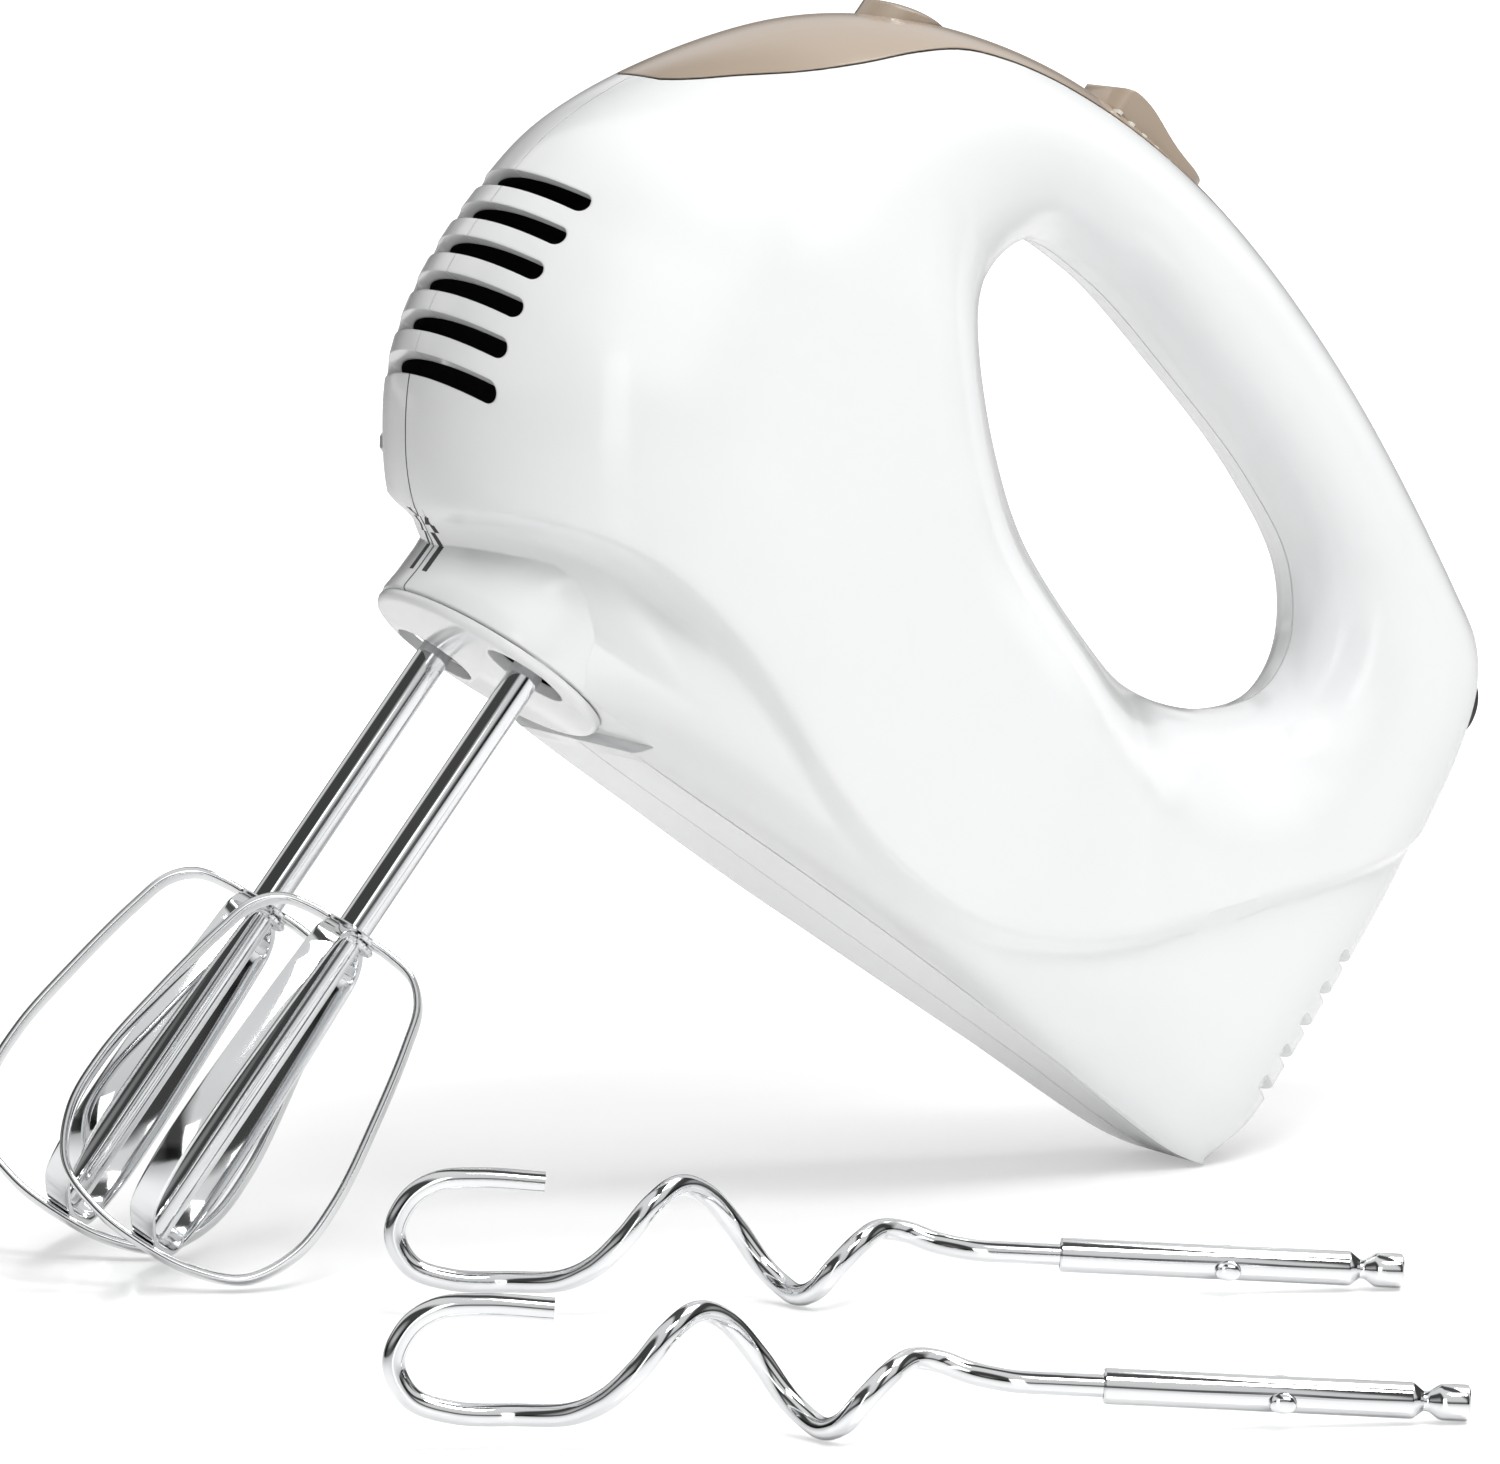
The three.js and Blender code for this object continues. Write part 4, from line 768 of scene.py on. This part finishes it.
def knob():
    """The slider's thumb piece: a steep front, a hollow back and sides rounded in plan."""
    lift = track_floor(TRACK_X0) + 0.35
    tail = (58.2, track_floor(58.2) + 0.35)
    side = np.concatenate([[(33.4, lift)], bezier([(33.6, lift + 1.6), (34.2, 141.9), (38, 141.9)])[:-1],
                           bezier([(38, 141.9), (44, 141.7), (46, 138.4), (57, 137.9)])[:-1],
                           bezier([(57, 137.9), (58.4, 137.6), tail])])
    plan = half_oval(37, -3.4, -math.pi / 2) + half_oval(52, 6.2, math.pi / 2)
    body = combined(slab(side, -KNOB_HALF, KNOB_HALF), [prism(plan, 2, 100, ABOVE)], "INTERSECT")
    return combined(body, [block(43.2, -1.5, 125.6, 48, 1.5, 138)], "UNION")


def speed_marks():
    """Short pale dashes along both sides of the slider, one for each speed."""
    marks = []
    for side in (-1, 1):
        for i in range(MARK_COUNT):
            x = MARK_X0 + MARK_PITCH * i
            plan = rounded_rectangle(1.0, 3.0, 0.3) + (x, side * MARK_Y)
            marks.append(prism(plan, 2, track_floor(x) - 1.2, track_floor(x) - 0.55))
    return merged(marks)


def gland():
    """The rubber bush that the cord would pass through."""
    outline = [(2.9, -4), (3.9, -4), (3.9, 0.6), (5.3, 0.6), (5.6, 0.9), (5.4, 1.7), (4.9, 2.1), (3.6, 2.55),
               (3.1, 2.6), (2.9, 2.4)]
    return at_gland(turned(outline, 48))


piece("button", button(), TAUPE, "ejector", ["eject_button"], angle=35)
piece("knob", knob(), TAUPE, "speed_control", ["speed_slider"], angle=40)
piece("speed_marks", speed_marks(), PALE, "mixer_body")
piece("gland", gland(), RUBBER, "mixer_body", ["cord_gland"])

# ---- beaters ---------------------------------------------------------------------------------
WING_TURN = math.radians(-35)
WING = [(0, -50), (7, -50), (12.4, -51.2), (15.8, -54.6), (17.8, -61), (20.4, -74), (22.3, -88),
        (21.6, -98), (17.2, -105.8), (9, -109.2), (0, -110)]
RIBBON_WIDTH, RIBBON_THICK = 4.4, 1.2
CROSSING = 1.3              # how far the second loop lies inside the first
EYE_R = 4.8
SHANK_TOP = 30.6
FOOT = -107.8


def ribbon(turn, inset):
    """A loop of flat strip, with the eye by which it sits on the shaft."""
    right = [(r, z + (math.copysign(inset, -(z + 80)) if r < 13 else 0)) for r, z in WING]
    left = [(-r, z) for r, z in right[1:-1]][::-1]
    loop = closed_curve(right + left, 260)
    loop = np.concatenate([loop, loop[:1]])
    points = np.stack([loop[:, 0], np.zeros(len(loop)), loop[:, 1]], axis=1)
    strip = swept(points, rounded_rectangle(RIBBON_THICK, RIBBON_WIDTH, 0.42), up=(0, 1, 0))
    top = WING[0][1] - inset
    bore = SHAFT_R + 0.2
    eye = turned([(bore, top - 0.5), (EYE_R - 0.3, top - 0.5), (EYE_R, top - 0.2), (EYE_R, top + 0.2),
                  (EYE_R - 0.3, top + 0.5), (bore, top + 0.5)])
    drill = rod(bore, top - 5, top + 5, 48)
    whole = combined(combined(strip, [eye], "UNION"), [drill], "DIFFERENCE")
    return moved(whole, Matrix.Rotation(turn, 4, "Z"))


def beater_rod():
    """A beater's shaft, with the groove that latches it and the pin that turns it."""
    outline = [(0, FOOT), (SHAFT_R - 0.7, FOOT), (SHAFT_R - 0.2, FOOT + 0.25), (SHAFT_R, FOOT + 0.8),
               (SHAFT_R, 22), (1.7, 23.4), (1.7, 26), (SHAFT_R, 27.2), (SHAFT_R, SHANK_TOP - 0.5),
               (SHAFT_R - 0.5, SHANK_TOP), (0, SHANK_TOP)]
    pin = moved(block(-4.6, -0.75, 6.4, 4.6, 0.75, 10.4), Matrix.Rotation(WING_TURN, 4, "Z"))
    return combined(turned(outline), [pin], "UNION")


for side, name in ((-1, "left"), (1, "right")):
    here = MIXER @ Matrix.Translation((0, side * SPACING / 2, 0))
    body = f"beater_{name}"
    piece(f"{body}_rod", beater_rod(), CHROME, body, [f"{body}_shaft"], here)
    piece(f"{body}_ribbon_a", ribbon(WING_TURN, 0), CHROME, body, [f"{body}_loop_a"], here)
    piece(f"{body}_ribbon_b", ribbon(WING_TURN + math.pi / 2, CROSSING), CHROME, body,
          [f"{body}_loop_b"], here)

# ---- dough hooks -----------------------------------------------------------------------------
# Centre line as (distance from the tip, height over the sleeve's axis, depth off the axis).
HOOK_LINE = [
    (45, 0, 0), (52, 0, 0), (60, 0, 0), (67, 0, 0.5), (73, 0.6, 2.5), (77.5, 1.9, 3.1),
    (81.6, 2.4, 1.2), (85, 0.9, -3.2), (88.6, -2.8, -5.2), (91.4, -6.6, -3.8), (94, -8.2, -0.4),
    (96.6, -7.4, 3.6), (99.8, -4.8, 6.4), (104, 0.6, 7.2), (109, 6.2, 4), (113.5, 8.2, -1),
    (117.6, 5.6, -5.2), (121.5, 0.6, -6.6), (126, -4.4, -5.2), (131, -7.4, -2.4), (139, -8.4, 0),
    (148.1, -8.5, 0), (154.4, -6.6, 0), (157.2, -1.6, 0), (155.2, 3.8, 0), (151, 6.8, 0),
    (144, 7.7, 0), (134.2, 7.5, 0),
]
HOOK_TILT, HOOK_TURN = math.radians(4.46), math.radians(-25)
HOOK_WIRE, HOOK_SLEEVE = 1.7, 2.7      # radii
LUG_TURN = 1.83                         # of the lugs about the sleeve, in radians


def hook_wire():
    """The bent wire of a hook."""
    line = open_curve([(-a, w, v) for a, v, w in HOOK_LINE], 420)
    return swept(line, circle(HOOK_WIRE, 24))


def hook_sleeve():
    """The rolled sleeve with its necked tip, rounded lugs and open end."""
    outline = [(0, 0), (2.2, 0), (2.6, 0.25), (2.7, 0.7), (2.7, 4.0), (2.5, 4.6), (1.6, 5.9), (1.5, 6.2),
               (1.5, 6.8), (1.8, 7.2), (2.6, 8.2), (HOOK_SLEEVE, 8.6), (HOOK_SLEEVE, 53.3), (2.45, 53.6),
               (HOOK_WIRE + GAP, 53.6), (HOOK_WIRE + GAP, 44), (0, 44)]
    tube = moved(turned(outline, 48), Matrix.Rotation(-math.pi / 2, 4, "Y"))
    domed = [(0, -4.4), (0.6, -4.35), (0.88, -4.1), (1, -3.6), (1, 3.6), (0.88, 4.1), (0.6, 4.35), (0, 4.4)]
    lugs = moved(turned(domed, 40), Matrix.Rotation(LUG_TURN, 4, "X") @ Matrix.Translation((-27.5, 0, 0))
                 @ Matrix.Diagonal((2.1, 1.4, 1, 1)))
    return combined(tube, [lugs], "UNION")


def hook_place(number):
    """Where a hook's tip lies, so that the new sleeve's box shares its middle with the CAD sleeve's box."""
    turn = Matrix.Rotation(HOOK_TURN, 4, "Z") @ Matrix.Rotation(HOOK_TILT, 4, "Y") @ Matrix.Scale(MM, 4)
    sample = moved(hook_sleeve(), turn)
    points = np.array([v.co for v in sample.vertices])
    low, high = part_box(f"hook_{number}_sleeve")
    middle = (np.array(low) + np.array(high)) / 2
    return Matrix.Translation(Vector(middle - (points.min(0) + points.max(0)) / 2)) @ turn


for number in (1, 2):
    place = hook_place(number)
    body = f"hook_{number}"
    piece(f"{body}_rod", hook_wire(), CHROME, body, [f"{body}_wire"], place)
    piece(f"{body}_tube", hook_sleeve(), CHROME, body, [f"{body}_sleeve"], place)

# ---- floor, light and camera -----------------------------------------------------------------
def make_floor():
    """A near-white floor that keeps its soft shadows close by and fades into the white ground far off."""
    corners = [(-6, -6), (6, -6), (6, 6), (-6, 6)]
    mesh = mesh_from([(x, y, -0.0002) for x, y in corners], [(0, 1, 2, 3)])
    floor = bpy.data.objects.new("floor", mesh)
    bpy.context.scene.collection.objects.link(floor)
    material, nodes, links, shader = start_material("floor_white")
    tone = ramp(nodes, links, noise(nodes, links, 2).outputs["Fac"], [(0.3, 0.93), (0.7, 0.95)])
    links.new(tone.outputs["Color"], shader.inputs["Base Color"])
    shader.inputs["Roughness"].default_value = 0.2
    shader.inputs["Emission Color"].default_value = (1, 1, 1, 1)
    where = nodes.new("ShaderNodeTexCoord")
    reach = nodes.new("ShaderNodeVectorMath")
    reach.operation = "LENGTH"
    links.new(where.outputs["Object"], reach.inputs[0])
    far = nodes.new("ShaderNodeMapRange")
    for socket, value in (("From Min", 0.2), ("From Max", 0.7), ("To Min", 0.34), ("To Max", 1.0)):
        far.inputs[socket].default_value = value
    links.new(reach.outputs["Value"], far.inputs["Value"])
    path = nodes.new("ShaderNodeLightPath")
    glow = nodes.new("ShaderNodeMapRange")
    glow.inputs["To Min"].default_value = 0.05
    links.new(far.outputs["Result"], glow.inputs["To Max"])
    links.new(path.outputs["Is Camera Ray"], glow.inputs["Value"])
    links.new(glow.outputs["Result"], shader.inputs["Emission Strength"])
    mesh.materials.append(material)


def studio_world():
    """A white ground; round the object a soft sky with dark flags, which give the chrome its streaks."""
    world = bpy.data.worlds.new("studio")
    bpy.context.scene.world = world
    world.use_nodes = True
    nodes, links = world.node_tree.nodes, world.node_tree.links
    background = nodes["Background"]
    where = nodes.new("ShaderNodeTexCoord")
    split = nodes.new("ShaderNodeSeparateXYZ")
    links.new(where.outputs["Generated"], split.inputs["Vector"])
    sky = ramp(nodes, links, split.outputs["Z"],
               [(0.0, 0.55), (0.03, 0.10), (0.16, 0.10), (0.30, 0.60), (1.0, 0.70)])
    across = nodes.new("ShaderNodeMapRange")
    across.inputs["From Min"].default_value = -1.0
    links.new(split.outputs["X"], across.inputs["Value"])
    flags = ramp(nodes, links, across.outputs["Result"],
                 [(0.0, 1.2), (0.10, 0.10), (0.20, 0.10), (0.26, 1.2), (0.46, 1.2), (0.50, 0.12),
                  (0.60, 0.12), (0.64, 1.2), (0.82, 1.2), (0.86, 0.10), (0.94, 0.10), (1.0, 1.0)])
    shade = nodes.new("ShaderNodeMix")
    shade.data_type = "RGBA"
    shade.blend_type = "MULTIPLY"
    shade.inputs["Factor"].default_value = 1.0
    links.new(sky.outputs["Color"], shade.inputs["A"])
    links.new(flags.outputs["Color"], shade.inputs["B"])
    path = nodes.new("ShaderNodeLightPath")
    mix = nodes.new("ShaderNodeMix")
    mix.data_type = "RGBA"
    links.new(path.outputs["Is Camera Ray"], mix.inputs["Factor"])
    links.new(shade.outputs["Result"], mix.inputs["A"])
    mix.inputs["B"].default_value = (1.0, 1.0, 1.0, 1)
    links.new(mix.outputs["Result"], background.inputs["Color"])
    background.inputs["Strength"].default_value = 1.0


def soft_light(name, place, size, power):
    """A rectangular soft box aimed at the object."""
    light = bpy.data.lights.new(name, "AREA")
    light.shape = "RECTANGLE"
    light.size, light.size_y = size
    light.energy = power
    obj = bpy.data.objects.new(name, light)
    bpy.context.scene.collection.objects.link(obj)
    obj.location = place
    obj.rotation_euler = (LIT - obj.location).to_track_quat("-Z", "Y").to_euler()


LIT = Vector((0, 0.05, 0.1))            # what the lights are aimed at
make_floor()
studio_world()
soft_light("key", (-0.05, -0.95, 1.5), (0.7, 0.5), 15.5)
soft_light("fill", (-1.2, -1.6, 0.5), (0.4, 1.2), 2.5)
soft_light("top", (0.7, -0.1, 1.5), (0.9, 0.7), 12)
bpy.context.scene.view_settings.view_transform = "Standard"

CAMERA_BACK = Vector((-0.43501, -0.89124, 0.12829))  # from the object towards the camera
CAMERA_ROLL = math.radians(-1.5)
CAMERA_DISTANCE = 1.8
CAMERA_AIM = (0.04367, -0.01079)                     # aim point, right of and above the mixer's origin
SENSOR = 36.0
IMAGE_WIDTH_AT_AIM = 0.24194                         # metres that the frame spans there


def make_camera():
    """The camera, on a long lens, a little left of the mixer's side and just above it."""
    data = bpy.data.cameras.new("camera")
    data.sensor_width = SENSOR
    data.lens = SENSOR * CAMERA_DISTANCE / IMAGE_WIDTH_AT_AIM
    data.clip_end = 50
    camera = bpy.data.objects.new("camera", data)
    bpy.context.scene.collection.objects.link(camera)
    back = CAMERA_BACK.normalized()
    right = Vector((0, 0, 1)).cross(back).normalized()
    right = Matrix.Rotation(CAMERA_ROLL, 3, back) @ right
    above = back.cross(right)
    camera.location = ORIGIN + right * CAMERA_AIM[0] + above * CAMERA_AIM[1] + back * CAMERA_DISTANCE
    camera.rotation_euler = Matrix((right, above, back)).transposed().to_euler()
    bpy.context.scene.camera = camera


make_camera()
